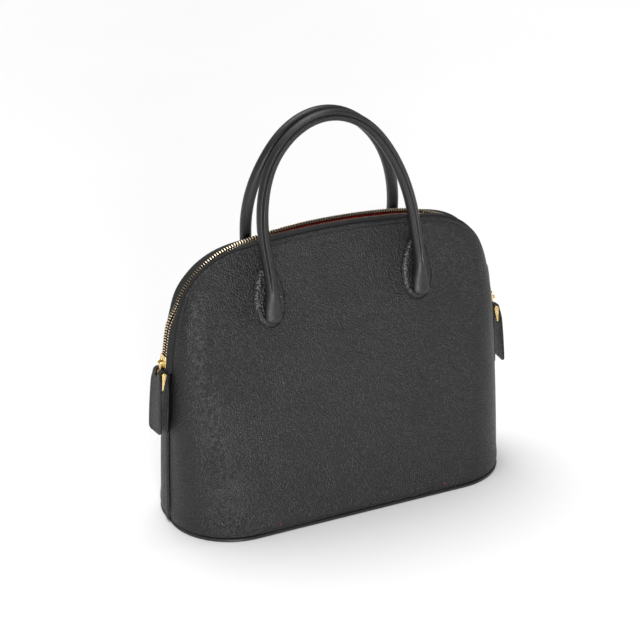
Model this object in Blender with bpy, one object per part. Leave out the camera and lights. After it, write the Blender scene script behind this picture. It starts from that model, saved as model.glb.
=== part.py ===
"""Domed leather handbag with two rolled handles and a two-way metal zip, stored with the zip open.

Metres, +Z up. The origin is the middle of the base on the ground, -Y is the front and +X the bag's right
as the front is looked at. Both halves of the bag follow one dome line in the XZ plane, which the zip's
teeth lie on. Along that line a place is given by its distance from the crown, negative to the left.
"""
import math
from collections import namedtuple

import bpy
import numpy as np

for item in list(bpy.data.objects):
    bpy.data.objects.remove(item, do_unlink=True)

# Dome line of the bag, one half, from the ground up: four arcs that run smoothly into each other
BASE_HALF_WIDTH = 0.165
SIDE_RADIUS = 2.36
SIDE_TURN_DEG = 3.66
LOWER_SHOULDER_RADIUS = 0.275
LOWER_SHOULDER_TURN_DEG = 8.76
SHOULDER_RADIUS = 0.0791
TOP_RADIUS = 0.627

# Depth of the bag and the swell of its two big panels
BASE_HALF_DEPTH = 0.0648
PANEL_CROWN = 0.0025
ROLL_LEAST = 0.012
ROLL_SHARE = 0.9

# Clearance that touching pieces keep
GAP = 0.0003

# Leather, boards, lining and tape
PANEL_THICK = 0.0022
SEAM_INSET = 0.0021
STIFFENER_THICK = 0.0006
STIFFENER_MARGIN = 0.011
LINING_THICK = 0.0007
BASE_THICK = 0.0024
BASE_PROUD = 0.0010
BASE_EDGE_ROUND = 0.0008
BOARD_THICK = 0.0020
BOARD_CLEAR = 0.0022
STRIP_HALF_WIDTH = 0.0039
STRIP_THICK = 0.0013
PANEL_BUTT = 0.0005

# Zip
ZIP_FOOT = 0.1507
TOOTH_REACH = 0.0032
TOOTH_HEIGHT = 0.0026
ROW_HALF_GAP_END = 0.0029
ROW_HALF_GAP_TOP = 0.0052
MOUTH_HALF_WIDTH = 0.133
TAPE_THICK = 0.0006
TAPE_FLAT = 0.0018
TAPE_FLANGE = 0.006
TAPE_LIP = 0.0008
SEAM_FROM_ROW = 0.0059
SEAM_CLOSING = 0.013
STOP_LENGTH = 0.0022
STOP_HALF_WIDTH = 0.0034
STOP_HEIGHT = 0.0020

# Slider with its bridge
SLIDER_REST = 0.1575
SLIDER_LENGTH = 0.011
SLIDER_PLATE = 0.0009
SLIDER_CLEAR = 0.00035
FLANGE_WIDTH = 0.0010
FLANGE_SLOT = 0.0018
POST_HALF_WIDTH = 0.0009
POST_LENGTH = 0.003
BRIDGE_BAR_RADIUS = 0.0009
BRIDGE_LUG_THICK = 0.0009
BRIDGE_LUG_LENGTH = 0.0036
BRIDGE_HEIGHT = 0.0039
BRIDGE_DROP = 0.0015

# Pull: link, brass bar, pin and folded leather tab
LINK_LENGTH = 0.0104
LINK_WIDTH = 0.0042
LINK_THICK = 0.0014
EYE_RADIUS = 0.0020
EYE_PROUD = 0.0001
PIN_RADIUS = 0.0009
BAR_HALF_THICK = 0.0022
BAR_FOOT_HALF_THICK = 0.0009
BAR_HEIGHT = 0.0158
BAR_TOP_ABOVE_PIN = 0.0035
TAB_WIDTH = 0.022
TAB_THICK = 0.0014
TAB_DROP = 0.056
TAB_CORNER = 0.004
TAB_OUTER_SPLAY = 0.0034
TAB_INNER_SPLAY = 0.0040
TAB_SLOT_DROP = 0.0040

# Handles, the sewn ends of their legs and the drop-shaped patches
HANDLE_HALF_SPAN = 0.0723
HANDLE_RADIUS = 0.0055
HANDLE_WALL = 0.0016
HANDLE_LEG = 0.0277
HANDLE_RISE = 0.1308
HANDLE_MEET = 0.096
HANDLE_SWAY = 0.0080
HANDLE_AXIS_HEIGHT = 0.2265
HANDLE_TOP_GAP = 0.0014
SWAY_START = 1.55
MEET_SOFTNESS = 0.12
FOOT_RADIUS = 0.0058
FOOT_LOW = 0.1862
PATCH_HALF_WIDTH = 0.0154
PATCH_LOW = 0.1818
PATCH_WIDEST = 0.2045
PATCH_HIGH = 0.2400
PATCH_THICK = 0.0014

# How finely the round shapes are divided
DOME_STEPS = 30
ZIP_STEPS = 60
ROLL_STEPS = 5
FAN_SHARES = (0.62, 0.3)
TUBE_SIDES = 12
CORE_SIDES = 8
ROD_SIDES = 16
ARCH_STEPS = 16

Arc = namedtuple("Arc", "centre radius angle turn start")


def radial(angle):
    """Unit vector in the XZ plane at an angle from +X."""
    return np.array([math.cos(angle), math.sin(angle)])


def dome_arcs():
    """The right half of the dome line as arcs, from the ground to the crown.

    Each arc starts where the last one ends, with its centre on the same radius, so the line has no
    corner. The top arc's share of the turn follows from its centre lying on the middle plane.
    """
    arcs = []
    centre = np.array([BASE_HALF_WIDTH - SIDE_RADIUS, 0.0])
    angle, start, radius = 0.0, 0.0, SIDE_RADIUS
    turns = (math.radians(SIDE_TURN_DEG), math.radians(LOWER_SHOULDER_TURN_DEG))
    for turn, following in zip(turns, (LOWER_SHOULDER_RADIUS, SHOULDER_RADIUS)):
        arcs.append(Arc(centre, radius, angle, turn, start))
        start += radius * turn
        angle += turn
        centre = centre + (radius - following) * radial(angle)
        radius = following
    crown_angle = math.acos(centre[0] / (TOP_RADIUS - SHOULDER_RADIUS))
    arcs.append(Arc(centre, radius, angle, crown_angle - angle, start))
    start += radius * (crown_angle - angle)
    centre = centre + (SHOULDER_RADIUS - TOP_RADIUS) * radial(crown_angle)
    arcs.append(Arc(centre, TOP_RADIUS, crown_angle, math.pi / 2 - crown_angle, start))
    return arcs


ARCS = dome_arcs()
HALF_LENGTH = ARCS[-1].start + ARCS[-1].radius * ARCS[-1].turn
DOME_HEIGHT = ARCS[-1].centre[1] + TOP_RADIUS


def dome(along, inset=0.0):
    """Points (x, z) of the dome line and its outward normals, set inwards by inset."""
    along = np.atleast_1d(np.asarray(along, float))
    up = np.clip(HALF_LENGTH - np.abs(along), 0.0, HALF_LENGTH)
    point, normal = np.zeros((len(up), 2)), np.zeros((len(up), 2))
    for arc in ARCS:
        on = up >= arc.start
        angle = arc.angle + (up[on] - arc.start) / arc.radius
        normal[on] = np.c_[np.cos(angle), np.sin(angle)]
        point[on] = arc.centre + (arc.radius - inset) * normal[on]
    side = np.where(along < 0, -1.0, 1.0)
    return point * np.c_[side, np.ones(len(side))], normal * np.c_[side, np.ones(len(side))]


def row_offset(along):
    """Distance from the middle plane to the middle of a tooth row, wider across the open mouth."""
    x = dome(along)[0][:, 0]
    wide_share = np.clip(1.0 - (x / MOUTH_HALF_WIDTH) ** 2, 0.0, 1.0) ** 1.5
    return ROW_HALF_GAP_END + (ROW_HALF_GAP_TOP - ROW_HALF_GAP_END) * wide_share


def smooth_share(value):
    """Goes from 0 to 1 as value does, level at both ends."""
    t = np.clip(value, 0.0, 1.0)
    return t * t * (3.0 - 2.0 * t)


def roll_offset(along):
    """Distance from the middle plane to where a panel starts to roll over, which is its seam by the zip."""
    return row_offset(along) + SEAM_FROM_ROW


def seam_offset(along):
    """Distance from the middle plane to a panel's edge: beside the zip, and butted below its foot."""
    up = HALF_LENGTH - np.abs(np.atleast_1d(along))
    share = smooth_share((up - ZIP_FOOT + SEAM_CLOSING) / SEAM_CLOSING)
    return PANEL_BUTT + (roll_offset(along) - PANEL_BUTT) * share


CROWN_HALF_DEPTH = float(roll_offset(0.0)[0])
LEAN = math.atan2(BASE_HALF_DEPTH - CROWN_HALF_DEPTH, DOME_HEIGHT)
OUTWARD = np.array([0.0, -math.cos(LEAN), math.sin(LEAN)])
PANEL_FOOT = BASE_THICK + GAP + PANEL_THICK * math.sin(LEAN)
TAPE_FOOT = ZIP_FOOT - STOP_LENGTH - 2 * GAP


def half_depth(x, z):
    """Distance from the middle plane to the front panel's flat part, with its slight swell."""
    flat = BASE_HALF_DEPTH + (CROWN_HALF_DEPTH - BASE_HALF_DEPTH) * z / DOME_HEIGHT
    across_share = np.clip(1.0 - (x / BASE_HALF_WIDTH) ** 2, 0.0, 1.0)
    up_share = np.sin(np.pi * np.clip(z / DOME_HEIGHT, 0.0, 1.0))
    return flat + PANEL_CROWN * across_share * up_share


def panel_line(along, foot=PANEL_FOOT):
    """One line of the front panel's outer face, from its seam over the roll to the foot's middle.

    The roll is a quarter of an ellipse that starts along Y at the bag's ends. Where the panel is less
    deep than the least roll, near the crown, only the last part of the quarter is left. Below the zip's
    foot the face goes on straight from the roll to the seam.
    """
    edge, normal = dome(along, SEAM_INSET)
    edge, normal = edge[0], normal[0]
    start = roll_offset(along)[0]
    deep = half_depth(*edge)
    rise = max(deep - start, ROLL_LEAST)
    first = math.asin(min(1.0, 1.0 - (deep - start) / rise))
    swing = ROLL_SHARE * deep
    roll = np.linspace(first, math.pi / 2, 4 * ROLL_STEPS + 1)
    flat = edge - swing * (math.cos(first) - np.cos(roll))[:, None] * normal
    depth = start + rise * (np.sin(roll) - math.sin(first)) + half_depth(flat[:, 0], flat[:, 1]) - deep
    rolled = np.c_[flat[:, 0], -depth, flat[:, 1]]
    seam = seam_offset(along)[0]
    if start - seam > GAP:
        rolled = np.vstack([[edge[0], -seam, edge[1]], rolled])
    share = np.linspace(0.0, 1.0, 4 * ROLL_STEPS + 1)[1:, None]
    run = flat[-1] + (np.array([0.0, foot]) - flat[-1]) * share
    level = np.c_[run[:, 0], -half_depth(run[:, 0], run[:, 1]), run[:, 1]]
    return np.vstack([rolled, level]), len(rolled)


def line_at(line, distances):
    """Points of a line at distances along it, and straight on past its first point."""
    steps = np.linalg.norm(np.diff(line, axis=0), axis=1)
    total = np.r_[0.0, np.cumsum(steps)]
    distances = np.atleast_1d(distances)
    points = np.c_[[np.interp(distances, total, line[:, k]) for k in range(3)]].T
    away = (line[0] - line[1]) / steps[0]
    return points + np.where(distances < 0.0, -distances, 0.0)[:, None] * away


def dome_places(low):
    """Places along the dome line from a height on the left side to the same on the right.

    They lie closer where the line bends harder: half of them are spread by length, half by turn, and
    four follow the seam's closing at the zip's foot. Only the outermost two are at the given height, so
    all layers of a panel share their columns.
    """
    up = np.linspace(PANEL_FOOT, HALF_LENGTH, 400)
    heading = np.array([math.atan2(*dome(HALF_LENGTH - u)[1][0][::-1]) for u in up])
    turned_share = (heading - heading[0]) / np.ptp(heading)
    spread = 0.5 * (up - up[0]) / np.ptp(up) + 0.5 * turned_share
    marks = np.array([ZIP_FOOT - SEAM_CLOSING, ZIP_FOOT - SEAM_CLOSING / 2, TAPE_FOOT, ZIP_FOOT])
    spread_up = np.interp(np.linspace(0.0, 1.0, DOME_STEPS // 2 + 1), spread, up)
    clear = np.abs(spread_up[:, None] - marks).min(axis=1) > SEAM_CLOSING / 2
    shared = np.sort(np.r_[spread_up[clear], marks])
    half = HALF_LENGTH - np.r_[low, shared[shared > low + BASE_THICK]]
    return np.r_[-half, half[-2::-1]]


def face_rows(foot, first_row):
    """Rows of the front panel's face from one of its rows on: over the roll, then fanning inwards.

    Row 0 is the seam, row 1 lies where the tape's flange ends and row 2 where the stiffener starts.
    """
    columns = []
    for along in dome_places(foot):
        line, rolled = panel_line(along, foot)
        steps_out = np.linalg.norm(np.diff(line, axis=0), axis=1)
        whole = steps_out.sum()
        last = max(steps_out[:rolled - 1].sum(), STIFFENER_MARGIN + ROLL_LEAST)
        reach = [0.0, TAPE_FLANGE, *np.linspace(STIFFENER_MARGIN, last, ROLL_STEPS)]
        reach += [whole - (whole - last) * share for share in FAN_SHARES]
        columns.append(line_at(line, reach[first_row:]))
    return np.array(columns).transpose(1, 0, 2)


def row_normals(rows):
    """Outward normals of a grid of points whose rows run from left to right and step inwards."""
    across = np.gradient(rows, axis=1)
    inward = np.gradient(rows, axis=0)
    normal = np.cross(inward, across)
    return normal / np.linalg.norm(normal, axis=2, keepdims=True)


FINISHES = {
    "black_leather": ((0.014, 0.014, 0.015), 0.42, 0.0),
    "handle_leather": ((0.012, 0.012, 0.013), 0.36, 0.0),
    "red_lining": ((0.32, 0.022, 0.012), 0.7, 0.0),
    "board": ((0.11, 0.08, 0.055), 0.8, 0.0),
    "zip_tape": ((0.012, 0.012, 0.012), 0.75, 0.0),
    "brass": ((0.78, 0.55, 0.22), 0.22, 1.0),
    "core_rope": ((0.42, 0.36, 0.27), 0.85, 0.0),
}


def finish(name):
    """The Principled material of one finish, made once."""
    if name in bpy.data.materials:
        return bpy.data.materials[name]
    colour, roughness, metallic = FINISHES[name]
    material = bpy.data.materials.new(name)
    material.use_nodes = True
    shader = material.node_tree.nodes["Principled BSDF"]
    shader.inputs["Base Color"].default_value = (*colour, 1.0)
    shader.inputs["Roughness"].default_value = roughness
    shader.inputs["Metallic"].default_value = metallic
    return material


PLACES = {}


def pivot(name, place, parent=None):
    """An empty on a joint's axis, for the moving pieces to hang from."""
    empty = bpy.data.objects.new(name, None)
    bpy.context.scene.collection.objects.link(empty)
    PLACES[name] = np.array(place, float)
    empty.parent = parent
    empty.location = PLACES[name] - (PLACES[parent.name] if parent else 0.0)
    return empty


def add(name, points, faces, finish_name, hang=None, crease_deg=40.0):
    """One named mesh object from points in the part's frame, with its origin on the pivot it hangs from."""
    origin = PLACES[hang.name] if hang else np.zeros(3)
    mesh = bpy.data.meshes.new(name)
    mesh.from_pydata([tuple(p) for p in np.asarray(points) - origin], [], [tuple(f) for f in faces])
    mesh.materials.append(finish(finish_name))
    mesh.shade_smooth()
    mesh.set_sharp_from_angle(angle=math.radians(crease_deg))
    item = bpy.data.objects.new(name, mesh)
    bpy.context.scene.collection.objects.link(item)
    item.parent = hang
    return item


def wall(item, thickness, offset=-1.0):
    """Gives a sheet its thickness, inwards from its face unless the offset says otherwise."""
    solid = item.modifiers.new("wall", "SOLIDIFY")
    solid.thickness = thickness
    solid.offset = offset
    solid.use_even_offset = True
    return item


def round_edges(item, width):
    """Rounds a solid's sharp edges."""
    bevel = item.modifiers.new("rounding", "BEVEL")
    bevel.width = width
    bevel.segments = 2
    bevel.limit_method = "ANGLE"
    return item


def combine(item, tool, operation):
    """Joins or cuts a solid with a guide solid that isn't a piece of the bag."""
    change = item.modifiers.new(operation.lower(), "BOOLEAN")
    change.object = tool
    change.operation = operation
    tool.hide_render = True
    tool.display_type = "WIRE"
    return item


def grid_faces(rows, columns, skip=None):
    """Quads of a grid stored row by row, without those that skip names."""
    return [
        (r * columns + c, r * columns + c + 1, (r + 1) * columns + c + 1, (r + 1) * columns + c)
        for r in range(rows - 1) for c in range(columns - 1) if not (skip and skip(r, c))
    ]


def mirrored(points, faces, side):
    """Points and faces for the front (side 1) or turned over to the back (side -1)."""
    points = np.asarray(points) * np.array([1.0, side, 1.0])
    return points, faces if side > 0 else [tuple(reversed(f)) for f in faces]


def fan_sheet(name, rows, hub, finish_name, thickness, side):
    """A sheet from rows that close in on a hub point, with its thickness behind its face."""
    count = rows.shape[1]
    points = np.vstack([rows.reshape(-1, 3), [hub]])
    faces = [tuple(reversed(f)) for f in grid_faces(len(rows), count)]
    last = (len(rows) - 1) * count
    faces += [(last + c + 1, last + c, len(points) - 1) for c in range(count - 1)]
    points, faces = mirrored(points, faces, side)
    return wall(add(name, points, faces, finish_name), thickness)


def hub_at(foot, inset):
    """Middle of a panel's foot, set in from its outer face."""
    return np.array([0.0, -half_depth(0.0, foot), foot]) - inset * OUTWARD


def base_outline(grow, corner_steps=8):
    """Outline of the bag's foot as (x, y), anticlockwise from above, grown outwards by grow."""
    start = float(roll_offset(HALF_LENGTH)[0])
    deep = half_depth(BASE_HALF_WIDTH, 0.0)
    rise, swing = deep - start, ROLL_SHARE * deep
    turn = np.linspace(0.0, math.pi / 2, corner_steps + 1)
    out = np.c_[np.cos(turn) / swing, np.sin(turn) / rise]
    out /= np.linalg.norm(out, axis=1, keepdims=True)
    edge = BASE_HALF_WIDTH - SEAM_INSET
    corner = np.c_[edge - swing * (1.0 - np.cos(turn)), start + rise * np.sin(turn)] + grow * out
    right = np.vstack([corner[::-1] * [1.0, -1.0], corner])
    return np.vstack([right, right[::-1] * [-1.0, 1.0]])


def plate(name, outline, low, high, finish_name):
    """A flat plate from an outline (x, y) that runs anticlockwise seen from above."""
    count = len(outline)
    points = np.vstack([np.c_[outline, np.full(count, low)], np.c_[outline, np.full(count, high)]])
    faces = [tuple(range(count - 1, -1, -1)), tuple(range(count, 2 * count))]
    faces += [(c, (c + 1) % count, count + (c + 1) % count, count + c) for c in range(count)]
    return add(name, points, faces, finish_name)


def build_base():
    """Base panel, the stiff board on it and the lining that covers the board."""
    base = plate("base_panel", base_outline(BASE_PROUD), 0.0, BASE_THICK, "black_leather")
    round_edges(base, BASE_EDGE_ROUND)
    board_low = BASE_THICK + GAP
    inner = PANEL_THICK + GAP + STIFFENER_THICK + BOARD_CLEAR
    plate("base_board", base_outline(-inner), board_low, board_low + BOARD_THICK, "board")
    lining_low = board_low + BOARD_THICK + GAP
    plate("base_lining", base_outline(-inner - LINING_THICK), lining_low, lining_low + LINING_THICK, "red_lining")
    return lining_low + LINING_THICK


def layer(name, side, foot, first_row, inset, finish_name, thickness):
    """One layer of a panel: its face lies an inset behind the leather's face."""
    rows = face_rows(foot, first_row)
    rows = rows - inset * row_normals(rows)
    fan_sheet(name, rows, hub_at(foot, inset), finish_name, thickness, side)


def build_panels(lining_foot):
    """Front and back: outer leather, the stiffener behind it and the lining, all lofted from one face."""
    stiffener_in = PANEL_THICK + GAP
    stiffener_foot = PANEL_FOOT + GAP
    lining_in = stiffener_in + TAPE_THICK + 2 * GAP
    lining_low = lining_foot + GAP + (lining_in + LINING_THICK) * math.sin(LEAN)
    for side, where in ((1.0, "front"), (-1.0, "back")):
        layer(f"{where}_panel", side, PANEL_FOOT, 0, 0.0, "black_leather", PANEL_THICK)
        layer(f"{where}_stiffener", side, stiffener_foot, 2, stiffener_in, "board", STIFFENER_THICK)
        layer(f"{where}_lining", side, lining_low, 1, lining_in, "red_lining", LINING_THICK)


def dome_bar(name, places, section, finish_name):
    """A bar along the dome line from left to right; section gives its corners (y, outward) at each place."""
    point, normal = dome(places)
    points = []
    for (x, z), (nx, nz), corners in zip(point, normal, section):
        points += [(x + out * nx, y, z + out * nz) for y, out in corners]
    faces = [(4 * r + c, 4 * r + (c + 1) % 4, 4 * r + 4 + (c + 1) % 4, 4 * r + 4 + c)
             for r in range(len(places) - 1) for c in range(4)]
    last = 4 * (len(places) - 1)
    faces += [(3, 2, 1, 0), (last, last + 1, last + 2, last + 3)]
    return add(name, points, faces, finish_name)


def rectangle(y_low, y_high, low, high):
    """Corners of a section, anticlockwise as seen from its right."""
    return [(y_low, low), (y_high, low), (y_high, high), (y_low, high)]


def build_end_strips():
    """Leather strips over the butted panel edges at both ends, from the base up to the zip's foot."""
    for side, where in ((-1.0, "left"), (1.0, "right")):
        places = np.sort(side * (HALF_LENGTH - np.linspace(BASE_THICK + GAP, TAPE_FOOT - 2 * GAP, 9)))
        low = -SEAM_INSET + GAP
        section = [rectangle(-STRIP_HALF_WIDTH, STRIP_HALF_WIDTH, low, low + STRIP_THICK)] * len(places)
        dome_bar(f"{where}_end_strip", places, section, "black_leather")


def build_tapes():
    """Zip tapes: flat behind the tooth rows, then falling to run under the panels' edges."""
    places = dome_places(TAPE_FOOT)
    point, normal = dome(places)
    flat = point + TAPE_THICK / 2 * normal
    tooth_back = TOOTH_REACH / 2 + GAP
    bead = [np.c_[flat[:, 0], -(row_offset(places) + reach), flat[:, 1]]
            for reach in (tooth_back, tooth_back + TAPE_FLAT)]
    reach = np.array([-TAPE_LIP, 0.0, TAPE_FLANGE])
    under = np.array([line_at(panel_line(along)[0], reach) for along in places]).transpose(1, 0, 2)
    under = under - (PANEL_THICK + GAP) * row_normals(under)
    rows = np.vstack([np.array(bead), under])
    for side, where in ((1.0, "front"), (-1.0, "back")):
        faces = [tuple(reversed(f)) for f in grid_faces(len(rows), len(places))]
        points, faces = mirrored(rows.reshape(-1, 3), faces, side)
        wall(add(f"zip_tape_{where}", points, faces, "zip_tape"), TAPE_THICK)


def box_mesh(centre, axes, halves):
    """Corners and faces of a box from its centre, three unit axes and three half sizes."""
    corners = [
        centre + sum(s * h * a for s, h, a in zip(signs, halves, axes))
        for signs in ((-1, -1, -1), (1, -1, -1), (1, 1, -1), (-1, 1, -1),
                      (-1, -1, 1), (1, -1, 1), (1, 1, 1), (-1, 1, 1))
    ]
    faces = [(3, 2, 1, 0), (4, 5, 6, 7), (0, 1, 5, 4), (1, 2, 6, 5), (2, 3, 7, 6), (3, 0, 4, 7)]
    if np.linalg.det(np.array(axes)) < 0:
        faces = [tuple(reversed(f)) for f in faces]
    return np.array(corners), faces


X_AXIS = np.array([1.0, 0.0, 0.0])
Y_AXIS = np.array([0.0, 1.0, 0.0])
Z_AXIS = np.array([0.0, 0.0, 1.0])


def dome_frame(along):
    """Place on the dome line with the outward normal and the direction up the line, as vectors."""
    point, normal = dome(along)
    x, z = point[0]
    nx, nz = normal[0]
    side = -1.0 if along < 0 else 1.0
    return np.array([x, 0.0, z]), np.array([nx, 0.0, nz]), np.array([-side * nz, 0.0, side * nx])


def build_teeth():
    """Both tooth rows from foot to foot, each as one bar that its teeth just fill."""
    half = HALF_LENGTH - SLIDER_REST + SLIDER_LENGTH / 2
    places = np.linspace(-half, half, ZIP_STEPS + 1)
    for side, where in ((-1.0, "front"), (1.0, "back")):
        section = [
            rectangle(y - TOOTH_REACH / 2, y + TOOTH_REACH / 2, -TOOTH_HEIGHT / 2, TOOTH_HEIGHT / 2)
            for y in side * row_offset(places)
        ]
        dome_bar(f"zip_teeth_{where}", places, section, "brass")


def build_stops():
    """Brass stops that hold both rows together at the zip's two feet."""
    for side, where in ((-1.0, "left"), (1.0, "right")):
        slider_low = SLIDER_REST - SLIDER_LENGTH / 2
        up = slider_low - GAP - STOP_LENGTH / 2
        place, outward, upward = dome_frame(side * (HALF_LENGTH - up))
        halves = (STOP_LENGTH / 2, STOP_HALF_WIDTH, STOP_HEIGHT / 2)
        corners, quads = box_mesh(place, (upward, Y_AXIS, outward), halves)
        add(f"zip_stop_{where}", corners, quads, "brass", crease_deg=20.0)


def ring(place, along, across, radius, sides):
    """One ring of points round a line, or the place itself where the radius has run out."""
    if radius < GAP:
        return [place]
    third = np.cross(along, across)
    turn = np.linspace(0.0, 2.0 * math.pi, sides, endpoint=False)
    return [place + radius * (math.cos(t) * across + math.sin(t) * third) for t in turn]


def rings_mesh(rings, loop=False):
    """Points and faces of a tube through its rings: capped, or running back into itself as a loop."""
    starts = np.cumsum([0] + [len(r) for r in rings])
    points = [p for r in rings for p in r]
    faces = []
    pairs = list(zip(range(len(rings)), range(1, len(rings)))) + ([(len(rings) - 1, 0)] if loop else [])
    for k, after in pairs:
        a, b = starts[k], starts[after]
        sides = max(len(rings[k]), len(rings[after]))
        for c in range(sides):
            d = (c + 1) % sides
            if len(rings[k]) == 1:
                faces.append((a, b + d, b + c))
            elif len(rings[after]) == 1:
                faces.append((a + c, a + d, b))
            else:
                faces.append((a + c, a + d, b + d, b + c))
    if not loop and len(rings[0]) > 1:
        faces.append(tuple(range(len(rings[0]) - 1, -1, -1)))
    if not loop and len(rings[-1]) > 1:
        faces.append(tuple(starts[-2] + c for c in range(len(rings[-1]))))
    return points, faces


def rod(name, place, radius, half_length, finish_name, hang):
    """A round bar along Y."""
    ends = [place - half_length * Y_AXIS, place + half_length * Y_AXIS]
    points, faces = rings_mesh([ring(end, Y_AXIS, X_AXIS, radius, ROD_SIDES) for end in ends])
    return add(name, points, faces, finish_name, hang)


def box(name, centre, axes, halves, finish_name, hang):
    """A box as an object of its own."""
    corners, quads = box_mesh(centre, axes, halves)
    return add(name, corners, quads, finish_name, hang, crease_deg=20.0)


def prism(name, outline, half_width, finish_name, hang):
    """A solid with an outline (x, z), given anticlockwise as seen from the front, across Y."""
    count = len(outline)
    front = np.c_[outline[:, 0], np.full(count, -half_width), outline[:, 1]]
    back = front * [1.0, -1.0, 1.0]
    faces = [tuple(range(count)), tuple(range(2 * count - 1, count - 1, -1))]
    faces += [(c, count + c, count + (c + 1) % count, (c + 1) % count) for c in range(count)]
    return add(name, np.vstack([front, back]), faces, finish_name, hang)


def build_slider(side, where, hang):
    """Slider: a block with a channel for the rows, a slot for the tapes and a bridge; returns its bar's place."""
    place, outward, upward = dome_frame(side * (HALF_LENGTH - SLIDER_REST))
    axes = (upward, Y_AXIS, outward)
    channel_high = TOOTH_HEIGHT / 2 + SLIDER_CLEAR
    channel_half = ROW_HALF_GAP_END + TOOTH_REACH / 2 + SLIDER_CLEAR
    half_width = channel_half + FLANGE_WIDTH
    half_length = SLIDER_LENGTH / 2
    high = channel_high + SLIDER_PLATE

    def guide(kind, shift, halves):
        return box(f"guide_{kind}_{where}", place + shift, axes, halves, "brass", hang)

    body = box(f"slider_{where}", place, axes, (half_length, half_width, high), "brass", hang)
    overrun = SLIDER_PLATE
    cuts = [("channel", (half_length + overrun, channel_half, channel_high)),
            ("slot", (half_length + overrun, half_width + overrun, FLANGE_SLOT / 2))]
    for kind, halves in cuts:
        cut = guide(kind, 0.0, halves)
        post_up = half_length - POST_LENGTH / 2 - SLIDER_PLATE
        post = guide(f"post_in_{kind}", post_up * upward, (POST_LENGTH / 2, POST_HALF_WIDTH, high))
        combine(cut, post, "DIFFERENCE")
        combine(body, cut, "DIFFERENCE")

    bar_place = place + (high + BRIDGE_HEIGHT) * outward - BRIDGE_DROP * upward
    lug_low = high - SLIDER_PLATE / 2
    lug_high = high + BRIDGE_HEIGHT + BRIDGE_BAR_RADIUS + SLIDER_PLATE / 2
    lug_y = LINK_WIDTH / 2 + GAP + BRIDGE_LUG_THICK / 2
    for y in (-1.0, 1.0):
        shift = (lug_low + lug_high) / 2 * outward - BRIDGE_DROP * upward + y * lug_y * Y_AXIS
        halves = (BRIDGE_LUG_LENGTH / 2, BRIDGE_LUG_THICK / 2, (lug_high - lug_low) / 2)
        combine(body, guide("lug_front" if y < 0 else "lug_back", shift, halves), "UNION")
    bar = rod(f"guide_bridge_bar_{where}", bar_place, BRIDGE_BAR_RADIUS, lug_y, "brass", hang)
    combine(body, bar, "UNION")
    return bar_place


def build_link(where, bar_place, hang):
    """Link: a flat brass bar with an eye at each end; returns the place of the pull's pin."""
    pin_place = bar_place - LINK_LENGTH * Z_AXIS
    halves = (LINK_THICK / 2, LINK_WIDTH / 2, LINK_LENGTH / 2)
    middle = (bar_place + pin_place) / 2
    link = box(f"pull_link_{where}", middle, (X_AXIS, Y_AXIS, Z_AXIS), halves, "brass", hang)
    for end, place, core in (("top", bar_place, BRIDGE_BAR_RADIUS), ("low", pin_place, PIN_RADIUS)):
        eye = rod(f"guide_eye_{end}_{where}", place, EYE_RADIUS, LINK_WIDTH / 2 + EYE_PROUD, "brass", hang)
        combine(link, eye, "UNION")
        bore = rod(f"guide_bore_{end}_{where}", place, core + GAP, LINK_WIDTH, "brass", hang)
        combine(link, bore, "DIFFERENCE")
    return pin_place


def build_bar_and_pin(where, pin_place, hang):
    """Brass bar with a drop-shaped section, notched for the link's eye, and the pin through both."""
    top = BAR_TOP_ABOVE_PIN - BAR_HALF_THICK
    foot = BAR_TOP_ABOVE_PIN - BAR_HEIGHT + BAR_FOOT_HALF_THICK
    over = np.linspace(0.0, math.pi, 9)
    under = np.linspace(math.pi, 2.0 * math.pi, 5)
    head = np.c_[BAR_HALF_THICK * np.cos(over), top + BAR_HALF_THICK * np.sin(over)]
    tip = np.c_[BAR_FOOT_HALF_THICK * np.cos(under), foot + BAR_FOOT_HALF_THICK * np.sin(under)]
    outline = np.vstack([head, tip]) + pin_place[[0, 2]]
    bar = prism(f"pull_bar_{where}", outline, TAB_WIDTH / 2, "brass", hang)
    low = -EYE_RADIUS - 2 * GAP
    high = BAR_TOP_ABOVE_PIN + BAR_HALF_THICK
    halves = (2 * BAR_HALF_THICK, LINK_WIDTH / 2 + 2 * GAP, (high - low) / 2)
    middle = pin_place + (low + high) / 2 * Z_AXIS
    notch = box(f"guide_notch_{where}", middle, (X_AXIS, Y_AXIS, Z_AXIS), halves, "brass", hang)
    combine(bar, notch, "DIFFERENCE")
    bore = rod(f"guide_pin_bore_{where}", pin_place, PIN_RADIUS + GAP, TAB_WIDTH, "brass", hang)
    combine(bar, bore, "DIFFERENCE")
    rod(f"pull_pin_{where}", pin_place, PIN_RADIUS, TAB_WIDTH / 2, "brass", hang)


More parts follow.
